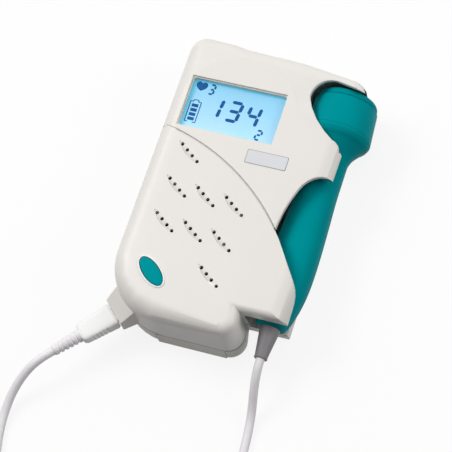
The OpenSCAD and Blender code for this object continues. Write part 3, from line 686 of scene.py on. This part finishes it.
@dataclass(frozen=True)
class Dresser:
    """Gives the CAD nodes that stay their finish and eased edges; weights are shares of the bevel's width."""

    usual: float = 0.165
    rim_more: float = 0.2
    seam_more: float = 0.1
    nose_end: float = 0.65
    eased_from: float = 36.0
    sharp_from: float = 32.0
    grille_z: float = 32.5
    seam_half: float = 1.4
    rolled_from: Point = (83, 60, 0)
    rims_from: Point = (62, 25, 27.8)
    nose_box: Table = ((84.05, 97.14, -1), (BEYOND, 97.34, BEYOND))

    @staticmethod
    def _group(name: str) -> Graph:
        """Starts a group of modifier nodes.

        Args:
            name: Name of the group.

        Returns:
            Its nodes.
        """
        group = bpy.data.node_groups.new(name, "GeometryNodeTree")
        for way in ("INPUT", "OUTPUT"):
            group.interface.new_socket("Geometry", in_out=way, socket_type="NodeSocketGeometry")
        return Graph(group)

    def _weights(self) -> bpy.types.NodeTree:
        """Modifier nodes that weigh the edges to ease: outer ones get the usual weight, the front rims of the
        notch and the head's window and both sides of the seam get more. The grille's hollows get none, nor
        does the rolled part of the upper flap, apart from its end face.

        Returns:
            The node group.
        """
        graph = self._group("edges_to_ease")
        place = graph.split(graph.value("GeometryNodeInputPosition"))
        x, y, z = place
        angle = graph.value("GeometryNodeInputMeshEdgeAngle", output="Signed Angle")
        normal = graph.value("GeometryNodeFieldOnDomain", {0: graph.value("GeometryNodeInputNormal")},
                             data_type="FLOAT_VECTOR", domain="FACE")
        far = graph.distance(place, SEAM_CENTRE)
        grille = (far < (SEAM_RADIUS - 3) * MM) * (z > self.grille_z * MM)
        seam = (far - SEAM_RADIUS * MM).math("ABSOLUTE") < self.seam_half * MM
        roll = row(self.rolled_from)
        plain = (x < roll[0]).most(y < roll[1])
        rims = graph.within(place, self.rims_from, (BEYOND,) * 3) * (graph.split(normal)[2] > 0.25)
        rims = rims * plain * (seam * -1.0 + 1.0)
        share = rims * self.rim_more + seam * self.seam_more - grille * self.usual + self.usual
        nose = graph.within(place, *self.nose_box)
        weight = (angle > math.radians(self.eased_from)) * (plain * share + nose * self.nose_end)
        stored = graph.value("GeometryNodeStoreNamedAttribute", {
            0: graph.value("NodeGroupInput"), "Name": "bevel_weight_edge", "Value": weight},
            data_type="FLOAT", domain="EDGE")
        graph.add("NodeGroupOutput", {0: stored})
        return graph.tree

    def _shading(self) -> bpy.types.NodeTree:
        """Modifier nodes that shade all smooth except steep edges.

        Returns:
            The node group.
        """
        graph = self._group("shade_by_angle")
        kind = "GeometryNodeSetShadeSmooth"
        steep = graph.value("GeometryNodeInputMeshEdgeAngle") > math.radians(self.sharp_from)
        smooth = graph.value(kind, {0: graph.value("NodeGroupInput"), "Shade Smooth": True})
        sharp = graph.value(kind, {0: smooth, "Selection": steep, "Shade Smooth": False}, domain="EDGE")
        graph.add("NodeGroupOutput", {0: sharp})
        return graph.tree

    def make(self, table: Iterable[tuple[str, Finish, float]]) -> None:
        """Dresses the nodes of a table.

        Args:
            table: For each node its name, its finish and the width of its usual eased edges in millimetres.
        """
        shading, weights = self._shading(), self._weights()
        for node, finish, bevel_mm in table:
            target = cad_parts[node]
            for place in target.material_slots:
                place.material = finish.material()
            target.modifiers.new("weld", "WELD").merge_threshold = 2e-6
            if bevel_mm:
                target.modifiers.new("edges", "NODES").node_group = weights
                ease = target.modifiers.new("ease", "BEVEL")
                ease.width, ease.segments = bevel_mm / self.usual * MM, 2
                ease.limit_method, ease.use_clamp_overlap = "WEIGHT", False
            target.modifiers.new("shading", "NODES").node_group = shading
            target.modifiers.new("normals", "WEIGHTED_NORMAL").keep_sharp = True
            log.info("%s: dressed as %s", node, finish.name)


@dataclass(frozen=True)
class Lead:
    """The lead: from the probe to a stored coil, and from the coil to the plug. Its points and the coil's
    sizes are part.scad's, in millimetres of the shared frame."""

    probe_side: Table = (
        (29.2, -75, 16.6), (29.2, -79.5, 14.3), (29.3, -84, 10.8), (29.6, -88.5, 7), (30, -94, 3.7),
        (30.6, -101, 2.2), (31.2, -109, 2), (31.7, -118, 2), (32, -127, 2), (32, -136, 2), (32, -146, 2),
        (32, -156, 2))
    plug_side: Table = (
        (-2, -190, 6.6), (-10, -190, 6.6), (-19, -190, 5.4), (-28, -189.6, 3.8), (-37, -188, 2.6),
        (-46, -184.6, 2), (-54, -179.4, 2), (-61, -172.6, 2), (-66.8, -164.6, 2), (-71.6, -155.6, 2),
        (-75, -146, 2), (-77.4, -136, 2), (-79, -127, 2.2), (-79.2, -119, 3.4), (-78, -111.6, 6),
        (-75.4, -105, 9.4), (-71.8, -99.2, 12.6), (-67.7, -94.2, 14.2))
    probe_blend: int = 8
    plug_blend: int = 10
    step: float = 1.5
    sunk: float = 3.0
    coil_at: Point = (2.0, -160.0)
    coil_out: float = 30.0
    coil_pitch: float = 4.6
    coil_turns: float = 6.25
    turn_steps: int = 48
    low_z: float = 2.0
    rise: float = 4.6
    tie_at: float = math.radians(60)
    tie_width: float = 8.0
    tie_low: Point = (14.9, 0.3)
    tie_high: Point = (30.2, 8.75)
    tie_thick: float = 0.8
    lap_low: Point = (18.5, 9.5)
    lap_high: Point = (28.6, 10.2)

    def _coil(self) -> np.ndarray:
        """Ring centres of the coil: the radius shrinks with the turns on the floor and grows again on top,
        and half way the height eases from one layer to the other.

        Returns:
            Points in metres.
        """
        t = np.linspace(0, self.coil_turns, int(self.coil_turns * self.turn_steps) + 1)
        radius = self.coil_out - self.coil_pitch * np.minimum(t, self.coil_turns - t)
        climb = np.clip((t - self.coil_turns / 2) * 2 + 0.5, 0, 1)
        height = self.low_z + self.rise * climb ** 2 * (3 - 2 * climb)
        x, y = radius * np.cos(-2 * math.pi * t), radius * np.sin(-2 * math.pi * t)
        return (np.stack([x, y, height], -1) + [*self.coil_at, 0]) * MM

    def _tie(self) -> bpy.types.Object:
        """Makes the strap that holds the coil: a band between two oblongs, with its end lapped over the top.

        Returns:
            The strap.
        """
        low, high = self.tie_low, self.tie_high
        inner, outer = (oblong((low[0] - t, low[1] - 0.35 * t), (high[0] + t, high[1] + t), 2 + t, 6)
                        for t in (0.0, self.tie_thick))
        half = self.tie_width / 2
        across = (-half, 0.3 - half, half - 0.3, half)
        lap = oblong(self.lap_low, self.lap_high, 0.3, 3)
        strap = loft([(outer, at) for at in across] + [(inner, at) for at in across[::-1]], closed=True)
        strap = strap + loft([(lap, 0.4 - half), (lap, half - 0.4)])
        cos, sin = math.cos(self.tie_at), math.sin(self.tie_at)
        strap = strap.moved(MID + [*self.coil_at, 0], [[cos, sin, 0], [0, 0, 1], [-sin, cos, 0]])
        return Piece("coil_tie", strap, STRAP, slot="black_plastic", bevel_mm=0.12).make()

    def make(self, plug_pieces: Sequence[bpy.types.Object]) -> None:
        """Args:
            plug_pieces: Pieces of the plug; not used.
        """
        boot_end = row([TAIL_X, TAIL_Y - BOOT_L - 0.3, PROBE_Z])
        plug_end = row(SOCKET_AT + (PLUG_L + PLUG_BOOT_L) * SOCKET_WAY)
        probe_side, plug_side = np.array(self.probe_side) * MM, np.array(self.plug_side) * MM
        sunk = self.sunk * MM
        near = curve(np.vstack([boot_end + [0, sunk, 0], boot_end, probe_side]), self.step * MM)
        far = curve(np.vstack([plug_side, plug_end, plug_end - sunk * SOCKET_WAY]), self.step * MM)
        coil = np.vstack([probe_side[-1:], self._coil(), plug_side[:1]])
        near_blend = (Body.PROBE, Body.UNIT, boot_end, probe_side[self.probe_blend])
        far_blend = (Body.UNIT, Body.PLUG, plug_side[self.plug_blend], plug_end)
        for name, path, node, far_end, pieces, blend in (
                ("lead_near", near, "probe_cord", "object", (), near_blend),
                ("lead_coil", coil, "cord_coil", "object", (self._tie(),), ()),
                ("lead_far", far, "plug_cord", "plug", plug_pieces, far_blend)):
            made = Piece(name, tube(path / MM + MID, CORD_D / 2), CORD, Body.UNIT, (node,), "cord").make(
                rides=not blend)
            if blend:
                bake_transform(made)


@dataclass(frozen=True)
class Plug:
    """The plug's grip and its strain relief, along the corner socket's axis."""

    grip: Table = (
        (0.3, 10.9, 6.2), (0.8, 11.4, 6.9), (3, 11.3, 6.9), (9, 10.8, 6.5), (15, 9.8, 6.1), (17.2, 8.8, 5.6),
        (18, 7.4, 5.0))
    ribs_from: float = 5.5
    ribs_to: float = 14.5
    rib_pitch: float = 1.8
    rib_depth: float = 0.35
    squareness: Point = (0.36, 0.42)
    rings: int = 5
    ring_pitch: float = 2.3

    def _grip(self) -> Surface:
        """Grip along +X: each station's width and thickness times a circle raised to low powers, which makes
        it nearly square, with cosine ribs cut into its two sides.

        Returns:
            The surface in the socket's frame.
        """
        x, width, thick = spline(np.array(self.grip), 90).T[:, :, None]
        across, up = (np.abs(c) ** power * np.sign(c) for c, power in zip(circle(64), self.squareness))
        wave = 0.5 - 0.5 * np.cos(2 * math.pi * (x - self.ribs_from) / self.rib_pitch)
        ribs = np.where((x > self.ribs_from) & (x < self.ribs_to), wave, 0)
        sides = np.abs(across) ** 6 * self.rib_depth * ribs
        return skin(np.stack([x + 0 * across, (width / 2 - sides) * across, thick / 2 * up], -1))

    def _relief(self) -> Surface:
        """Relief turned round +Y: a slim cone with a groove after each ring.

        Returns:
            The surface, with its start at the origin.
        """
        groove = np.array([[0, 0], [-0.5, 0.25], [-0.5, 0.75], [-0.02, 1.0]])
        rings = [groove + [3.1 - 0.13 * k, 1.6 + self.ring_pitch * k] for k in range(self.rings)]
        end = np.array([[2.45, -0.7], [2.3, -0.1], [2.1, 0], [0.1, 0]]) + [0, PLUG_BOOT_L]
        return lathe(np.vstack([[[0.1, 0], [3.2, 0]], *rings, end]), 48, closed=False)

    def make(self) -> list[bpy.types.Object]:
        """Makes the grip and the relief.

        Returns:
            Both objects.
        """
        left, up = [-SOCKET_WAY[1], SOCKET_WAY[0], 0], [0, 0, 1]
        grip = self._grip().moved(SOCKET_AT, [SOCKET_WAY, left, up])
        relief = self._relief().moved(SOCKET_AT + PLUG_L * SOCKET_WAY, [left, SOCKET_WAY, up])
        return [Piece("plug_grip_skin", grip, PLUG, Body.PLUG, ("plug_grip",), sharp=50).make(),
                Piece("plug_relief", relief, CORD, Body.PLUG, ("plug_boot",), "cord", sharp=50).make()]


@dataclass(frozen=True)
class Probe:
    """The probe's handle, head and strain relief. A station of the handle is its share of the length, its
    half width and its share of the half thickness."""

    stations: Table = (
        (0, 6.6, 0.72), (0.03, 7.6, 0.78), (0.09, 9.0, 0.86), (0.17, 10.3, 0.94), (0.27, 11, 1), (0.4, 11, 1),
        (0.54, 10.5, 0.98), (0.68, 9.8, 0.94), (0.82, 9.1, 0.9), (0.93, 8.9, 0.88), (1, 8.8, 0.88))
    half_thick: float = 10.0
    half_gap: float = 0.06
    lip_depth: float = 0.22
    tail_round: float = 2.4
    cap_inset: float = 0.62
    cap_round: float = 2.4

    def _half(self, side: int) -> Surface:
        """One shell of the handle: half an oval at each station, a little squarer towards the tail, drawn in
        at the tail's round and along the parting.

        Args:
            side: 1 for the front shell, -1 for the back one.

        Returns:
            The surface.
        """
        s, half, thick = spline(np.array(self.stations), 150).T[:, :, None]
        length = NECK_Y - 0.1 - TAIL_Y
        shrink = 0.8 + 0.2 * np.sqrt(1 - np.clip(1 - s * length / self.tail_round, 0, 1) ** 2)
        half, thick = half * shrink, thick * shrink * self.half_thick
        square = np.clip((1 - s) / 0.2, 0, 1)
        a = np.linspace(0, math.pi, 49)
        across = np.abs(np.cos(a)) ** (1 - 0.14 * square) * np.sign(np.cos(a))
        up = np.sin(a).clip(0) ** (1 - 0.08 * square)
        lip = self.lip_depth * np.exp(-(up * thick / 0.3) ** 2)
        x = TAIL_X + (PROBE_X - TAIL_X) * s + (half - lip) * across
        z = PROBE_Z + side * (self.half_gap + thick * up)
        return skin(np.stack([x, TAIL_Y + s * length + 0 * across, z], -1))

    @staticmethod
    def _cup() -> np.ndarray:
        """Profile of the head's cup: trumpet, groove below the band, rounded upper rim, and the inside.

        Returns:
            Rows of radius and case Y.
        """
        wide = HEAD_R + HEAD_FLARE
        trumpet = np.array([[8.8, 0], [8.9, 2], [9.5, 4.2], [10.5, 6.4], [11.9, 8.5],
                            [wide - 2.5, 10.4], [wide - 1.1, 11.8]]) + [0, NECK_Y]
        flare = np.array([[-0.35, -0.2], [-0.05, 0.5], [-0.02, 1.1]]) + [wide, HEAD_BASE]
        groove = np.array([[-0.05, 1.6], [-0.22, 1.75], [-0.08, 1.9]]) + [wide, HEAD_BASE]
        rim = np.array([[0.04, -0.8], [-0.12, -0.4], [-0.5, -0.1], [-1.0, 0], [-2.2, 0]])
        return np.vstack([[[6, NECK_Y]], curve(np.vstack([trumpet, flare]), 0.5), groove,
                          rim + [HEAD_R, HEAD_SEAM], [[HEAD_R - 2.2, HEAD_BASE + 0.6], [6, HEAD_BASE - 5]]])

    def _cap(self) -> np.ndarray:
        """Profile of the ring round the head's face: a chamfer at the seam and a quarter circle at the crown.

        Returns:
            Rows of radius and case Y.
        """
        outer, inner, turn = HEAD_R - self.cap_inset, HEAD_R - 3.1, np.linspace(0, math.pi / 2, 11)
        centre = [outer - self.cap_round, HEAD_TOP - 0.4 - self.cap_round]
        crown = np.stack([np.cos(turn), np.sin(turn)], -1) * self.cap_round + centre
        foot = [[inner, 0.05], [outer - 0.6, 0.05], [outer - 0.15, 0.3], [outer, 0.7]]
        return np.vstack([np.array(foot) + [0, HEAD_SEAM], crown, [[inner, HEAD_TOP - 0.5]]])

    @staticmethod
    def _boot() -> np.ndarray:
        """Profile of the strain relief: a bead at its end, a slim cone, and a collar inside the handle.

        Returns:
            Rows of radius and height over the handle's tail.
        """
        bead = np.array([[0.1, 0], [2.75, 0], [3.05, 0.15], [3.1, 0.5], [2.92, 0.7]]) - [0, BOOT_L]
        cone = np.array([[2.95, 0.9 - BOOT_L], [3.2, 3 - BOOT_L], [3.7, 7 - BOOT_L], [4.2, -4], [4.7, -0.5]])
        collar = [[4.7, -0.1], [3.1, -0.1], [3.1, 2.2], [4.5, 2.2], [4.5, 4.8], [0.1, 4.8]]
        return np.vstack([bead, curve(cone, 0.5), collar])

    def make(self) -> None:
        """Makes the probe's visible pieces."""
        for side, node in ((1, "handle_front"), (-1, "handle_back")):
            Piece(f"{node}_skin", self._half(side), TEAL, Body.PROBE, (node,), sharp=35).make()
        for node, profile in (("head_cup", self._cup()), ("head_cap", self._cap())):
            turned = lathe(profile, 144).moved([PROBE_X, 0, PROBE_Z])
            Piece(f"{node}_skin", turned, TEAL, Body.PROBE, (node,), sharp=30).make()
        boot = lathe(self._boot(), 96, closed=False).moved([TAIL_X, TAIL_Y, PROBE_Z])
        Piece("boot_skin", boot, BOOT, Body.PROBE, ("cord_boot",), sharp=35).make()


@dataclass(frozen=True)
class Display:
    """Lit panel, its segments and its rim, and the plate below it. A segment is given by both its ends, in
    millimetres from the window's centre."""

    big: Table = (
        (-5.8, 4.6, -6.3, 0.9), (-6.4, -0.1, -6.8, -3.8),
        (-1.5, 5.0, 2.8, 5.0), (3.4, 4.4, 2.9, 0.8), (-1.6, 0.4, 2.3, 0.4),
        (2.8, -0.3, 2.4, -3.8), (-2.3, -4.4, 2.0, -4.4),
        (7.6, 4.3, 7.1, 0.8), (7.6, 0.1, 11.3, 0.1), (12.5, 4.3, 12.0, 0.6), (11.9, -0.6, 11.5, -4.4))
    small: Table = (
        (-13.7, 11.2, -12.0, 11.2), (-11.7, 10.9, -11.9, 9.3), (-13.6, 8.8, -12.2, 8.8),
        (-12.0, 8.4, -12.2, 6.8), (-14.1, 6.5, -12.4, 6.5),
        (13.9, -6.1, 15.7, -6.1), (16.1, -6.4, 15.9, -7.9), (13.9, -8.3, 15.5, -8.3),
        (13.5, -8.7, 13.3, -10.3), (13.6, -10.7, 15.3, -10.7))
    battery: Table = (
        (-20.9, 1.3, -19.6, 1.3), (-19.4, 2.2, -17.4, 2.2), (-19.5, 2.2, -19.6, 1.3),
        (-17.3, 2.2, -17.2, 1.3), (-17.2, 1.3, -15.9, 1.3), (-20.9, 1.3, -20.9, -9.1),
        (-15.8, 1.3, -15.8, -9.1), (-20.9, -9.1, -19.6, -9.1), (-17.2, -9.1, -15.8, -9.1))
    charge_x: Point = (-19.9, -16.8)
    charge_y: Point = (-0.65, -2.95, -5.2, -7.45)
    heart: Table = (
        (0, -2.3), (0.95, -1.65), (1.75, -0.9), (2.25, 0), (2.35, 0.85), (2.0, 1.6), (1.3, 2.05), (0.6, 1.95),
        (0, 1.5))
    heart_scale: Point = (1.16, 1.06)
    heart_at: Point = (-18.2, 9.5)
    ink_mm: float = 0.06
    rim_z: tuple[float, float] = (31.75, 33.0)
    plate_at: Point = (54.1, 84.5)
    plate_half: Point = (9.7, 3.4)

    @staticmethod
    def _bar(ends: Point, width: float, pointed: bool, longer: float) -> np.ndarray:
        """Outline of one segment: both long sides, and between them a point or a straight cut at each end.

        Args:
            ends: Places of its two ends.
            width: Its width.
            pointed: True for pointed ends.
            longer: How far it reaches past each end.

        Returns:
            The outline's points.
        """
        a, b = np.reshape(ends, (2, 2))
        along = (b - a) / np.linalg.norm(b - a)
        a, b = a - along * longer, b + along * longer
        side = np.array([-along[1], along[0]]) * width / 2
        if not pointed:
            return np.array([a + side, a - side, b - side, b + side])
        tip = along * width * 0.45
        return np.array([a + tip + side, a, a + tip - side, b - tip - side, b, b - tip + side])

    def _segments(self) -> Surface:
        """Prisms over the outlines of all segments, which stand a little over the panel.

        Returns:
            The surface.
        """
        charge = [(self.charge_x[0], y, self.charge_x[1], y) for y in self.charge_y]
        groups = ((self.big, 1.6, True, 0.35), (self.small, 0.92, True, 0.15),
                  (self.battery, 0.42, False, 0), (charge, 1.6, False, 0))
        outlines = [self._bar(ends, *kind) for group, *kind in groups for ends in group]
        right = np.array(self.heart)
        heart = curve(np.vstack([right, right[-2::-1] * [-1, 1]]), 0.25)[:-1]
        solid = Surface(np.zeros((0, 3)))
        for outline in [*outlines, heart * self.heart_scale + self.heart_at]:
            placed = outline + WINDOW_AT
            solid = solid + loft([(placed, PANEL_Z), (placed, PANEL_Z + self.ink_mm)])
        return solid

    def _rim(self) -> Surface:
        """Rim inside the window's recess: a flat ring between two oblongs, wider on the left and above.

        Returns:
            The surface.
        """
        low, high = WINDOW_AT - WINDOW / 2 + 0.02, WINDOW_AT + WINDOW / 2 - 0.02
        outer, inner = oblong(low, high, 0.1), oblong(low + [0.5, 0.15], high - [0.15, 0.5], 1.3)
        base, top = self.rim_z
        return loft([(outer, base), (outer, top), (inner, top), (inner, base)], closed=True)

    def make(self) -> None:
        """Makes the panel, the segments, the rim and the bare plate below the display."""
        half = WINDOW / 2 + [1, 2]
        panel = oblong(WINDOW_AT - half, WINDOW_AT + half, 0.5)
        glass = loft([(panel, PANEL_Z - 2.4), (panel, PANEL_Z)])
        Piece("lcd_panel", glass, PANEL, Body.UNIT, ("lcd_glass",)).make()
        Piece("lcd_segments", self._segments(), SEGMENT, slot="lcd").make()
        Piece("display_rim", self._rim(), SHADED_RIM, slot="shell").make()
        for name, less, low, high, finish in (("plate_border", 0.0, -0.05, 0.12, PLATE_EDGE),
                                              ("plate_face", 0.25, 0.05, 0.16, PLATE)):
            half = np.array(self.plate_half) - less
            shape = oblong(self.plate_at - half, self.plate_at + half, 0.6)
            Piece(name, loft([(shape, FRONT_Z + low), (shape, FRONT_Z + high)]), finish, slot="shell").make()


@dataclass(frozen=True)
class Seam:
    """Lip under the curved seam of the two front mouldings."""

    from_x: float = 67.0
    to_x: float = 2.4
    half_width: float = 1.0
    thick: float = 1.2
    top_z: float = 33.1
    below: float = 0.9

    def make(self) -> None:
        """Makes the lip: a flat strip along the seam's arc, which keeps below the front's rolled edge."""
        ends = [math.acos((x - SEAM_CENTRE[0]) / SEAM_RADIUS) for x in (self.from_x, self.to_x)]
        turn = np.linspace(*ends, 120)[:, None]
        wide, thick = self.half_width, self.thick
        across, height = np.array([[-wide, -thick], [wide, -thick], [wide, 0.0], [-wide, 0.0]]).T
        x = SEAM_CENTRE[0] + np.cos(turn) * (SEAM_RADIUS + across)
        y = SEAM_CENTRE[1] + np.sin(turn) * (SEAM_RADIUS + across)
        rolled = FRONT_Z - EDGE_ROLL + np.sqrt(EDGE_ROLL ** 2 - np.clip(EDGE_ROLL - x, 0, EDGE_ROLL) ** 2)
        top = np.minimum(self.top_z, rolled.min(axis=1, keepdims=True) - self.below)
        Piece("seam_lip", skin(np.stack([x, y, top + height], -1)), SHELL_REAR, slot="shell").make()


@dataclass(frozen=True)
class StartKey:
    """Domed key and the bead moulded round it. A level is how far it lies outside the key, and its height."""

    length: float = 16.0
    width: float = 7.0
    steps: int = 96
    dome: Table = (
        (0.0, 29.0), (0.0, 34.0), (-0.05, 34.15), (-0.2, 34.28), (-0.45, 34.36), (-1.2, 34.44), (-2.2, 34.49),
        (-3.2, 34.5))
    bead: Table = (
        (0.3, 33.6), (0.3, 34.2), (0.36, 34.34), (0.5, 34.44), (0.68, 34.46), (0.86, 34.38), (1.0, 34.2),
        (1.08, 34.0), (1.08, 33.6))

    def _outlines(self, levels: Iterable[Point]) -> list[tuple[np.ndarray, float]]:
        """Ovals of the levels, turned as the key is.

        Args:
            levels: Rows of distance outside the key, and height.

        Returns:
            Each oval with its height.
        """
        ring, half = np.stack(circle(self.steps), -1), np.array([self.length, self.width]) / 2
        cos, sin = math.cos(BUTTON_TURN), math.sin(BUTTON_TURN)
        axes = np.array([[cos, sin], [-sin, cos]])
        return [(ring * (half + grow) @ axes + BUTTON_AT, z) for grow, z in levels]

    def make(self) -> None:
        """Makes the key and its bead."""
        key, bead = loft(self._outlines(self.dome)), loft(self._outlines(self.bead), closed=True)
        Piece("key_skin", key, KEY, Body.KEY, ("start_button",), sharp=60).make()
        Piece("key_bead", bead, LIGHTENED_BEAD, Body.UNIT, slot="shell", sharp=60).make()


@dataclass(frozen=True)
class Studio:
    """Floor, lights and the camera of the photo, in metres but for the camera's target."""

    target_mm: Point = (-0.40, -19.997, 34.0)
    right: Point = (0.9420, 0.3004, -0.150)
    up: Point = (-0.2210, 0.8899, 0.399)
    distance: float = 1.0
    lens_mm: float = 179.2
    overhead: Point = (-0.45, 0.58, 0.68)
    dim: float = 0.04
    bright: float = 0.75
    lamps: tuple[tuple[str, Point, float, float], ...] = (
        ("key_light", (-0.75, 0.22, 1.0), 0.6, 6.8), ("fill_light", (1.0, 0.2, 0.75), 0.8, 5.5))
    floor_half: float = 3.0
    floor_fill: float = 0.86

    def make(self) -> None:
        """Makes the camera, the floor, the world and the lights."""
        self._camera()
        self._floor()
        self._world()
        for lamp in self.lamps:
            self._lamp(*lamp)
        bpy.context.scene.view_settings.view_transform = "Standard"

    def _camera(self) -> None:
        """Places the camera by its measured axes."""
        right = np.array(self.right) / np.linalg.norm(self.right)
        up = self.up - right * (self.up @ right)
        up /= np.linalg.norm(up)
        back = np.cross(right, up)
        data = bpy.data.cameras.new("camera")
        data.lens, data.sensor_width, data.clip_start = self.lens_mm, 36.0, 0.05
        camera = bpy.data.objects.new("camera", data)
        bpy.context.scene.collection.objects.link(camera)
        matrix = Matrix(np.column_stack([right, up, back]).tolist()).to_4x4()
        matrix.translation = Vector((np.array(self.target_mm) * MM + back * self.distance).tolist())
        camera.matrix_world = matrix
        bpy.context.scene.camera = camera

    @staticmethod
    def _lamp(name: str, direction: Point, size: float, power: float) -> None:
        """Adds a soft light that faces the object.

        Args:
            name: Name of the lamp.
            direction: Place of the lamp.
            size: Width of the disk that shines.
            power: Its power in watts.
        """
        data = bpy.data.lights.new(name, "AREA")
        data.shape, data.size, data.energy = "DISK", size, power
        lamp = bpy.data.objects.new(name, data)
        lamp.location = direction
        lamp.rotation_euler = Vector(direction).to_track_quat("Z", "Y").to_euler()
        bpy.context.scene.collection.objects.link(lamp)

    @staticmethod
    def _white_ray(graph: Graph) -> Value:
        """1 for rays that show the background to the camera, straight or by way of the object, else 0."""
        seen, *passed = (graph.value("ShaderNodeLightPath", output=f"Is {kind} Ray")
                         for kind in ("Camera", "Glossy", "Transmission"))
        return seen.most(passed[0].most(passed[1]))

    def _world(self) -> None:
        """White for the camera, and for the object a soft light that is strongest from above and behind."""
        world = bpy.data.worlds.new("world")
        bpy.context.scene.world = world
        world.use_nodes = True
        graph = Graph(world.node_tree)
        way = graph.value("ShaderNodeTexCoord", output="Generated")
        high = graph.value("ShaderNodeVectorMath", {0: way, 1: self.overhead}, "Value",
                           operation="DOT_PRODUCT")
        strength = graph.fade(high, 0.0, 1.0, self.dim, self.bright)
        light = graph.value("ShaderNodeBackground", {0: (1, 0.99, 0.975, 1), 1: strength})
        shown = graph.value("ShaderNodeBackground", {0: (1, 1, 1, 1), 1: 1.0})
        mix = graph.value("ShaderNodeMixShader", {0: self._white_ray(graph), 1: light, 2: shown})
        graph.add("ShaderNodeOutputWorld", {0: mix})

    def _floor(self) -> None:
        """Pale floor that keeps the object's shadow."""
        half = self.floor_half / MM
        corners = np.array([[-half, -half, 0], [half, -half, 0], [half, half, 0], [-half, half, 0]]) + MID
        floor = Surface(corners, [(0, 1, 2, 3)]).make("floor")
        paint = Paint("floor")
        shown = self._white_ray(paint)
        matte = paint.value("ShaderNodeBsdfDiffuse", {"Color": paint.tint(shown, (0.3, 0.3, 0.3), (1, 1, 1))})
        white = paint.value("ShaderNodeEmission", {"Color": (1, 1, 1, 1), "Strength": 1.0})
        mix = paint.value("ShaderNodeMixShader", {0: shown * self.floor_fill, 1: matte, 2: white})
        paint.add("ShaderNodeOutputMaterial", {0: mix})
        floor.data.materials.append(paint.material)


DRESSED: tuple[tuple[str, Finish, float], ...] = (
    ("front_upper", SHELL_ARCHED, 0.33), ("front_lower", SHELL, 0.33), ("rear_case", SHELL_REAR, 0.33),
    ("battery_door", SHELL_REAR, 0.25), ("display_window", WINDOW_CLEAR, 0.0), ("backlight", DIFFUSER, 0.0),
    ("display_frame", BLACK, 0.0), ("main_board", BOARD, 0.0), ("board_chips", CHIP, 0.15),
    ("speaker_frame", STEEL, 0.0), ("speaker_cone", CONE, 0.0), ("speaker_magnet", MAGNET, 0.2),
    ("key_board", BOARD, 0.0), ("button_switch", BLACK, 0.15), ("volume_pot", STEEL, 0.1),
    ("volume_wheel", WHEEL, 0.15), ("earphone_jack", BLACK, 0.15), ("probe_socket", BLACK, 0.1),
    ("battery_cells", CELL, 0.3), ("battery_contacts", SPRING, 0.0), ("case_screws", STEEL, 0.1),
    ("probe_lens", LENS, 0.0), ("crystals", PIEZO, 0.1), ("backing_disc", CHIP, 0.1),
    ("probe_board", BOARD, 0.0), ("plug_shell", STEEL, 0.05), ("plug_pins", GILT, 0.05))


def main() -> None:
    """Builds the scene."""
    logging.basicConfig(level=logging.INFO)
    Studio().make()
    Lead().make(Plug().make())
    Dresser().make(DRESSED)
    for assembly in (Probe(), Display(), Seam(), StartKey()):
        assembly.make()


if __name__ == "__main__":
    main()
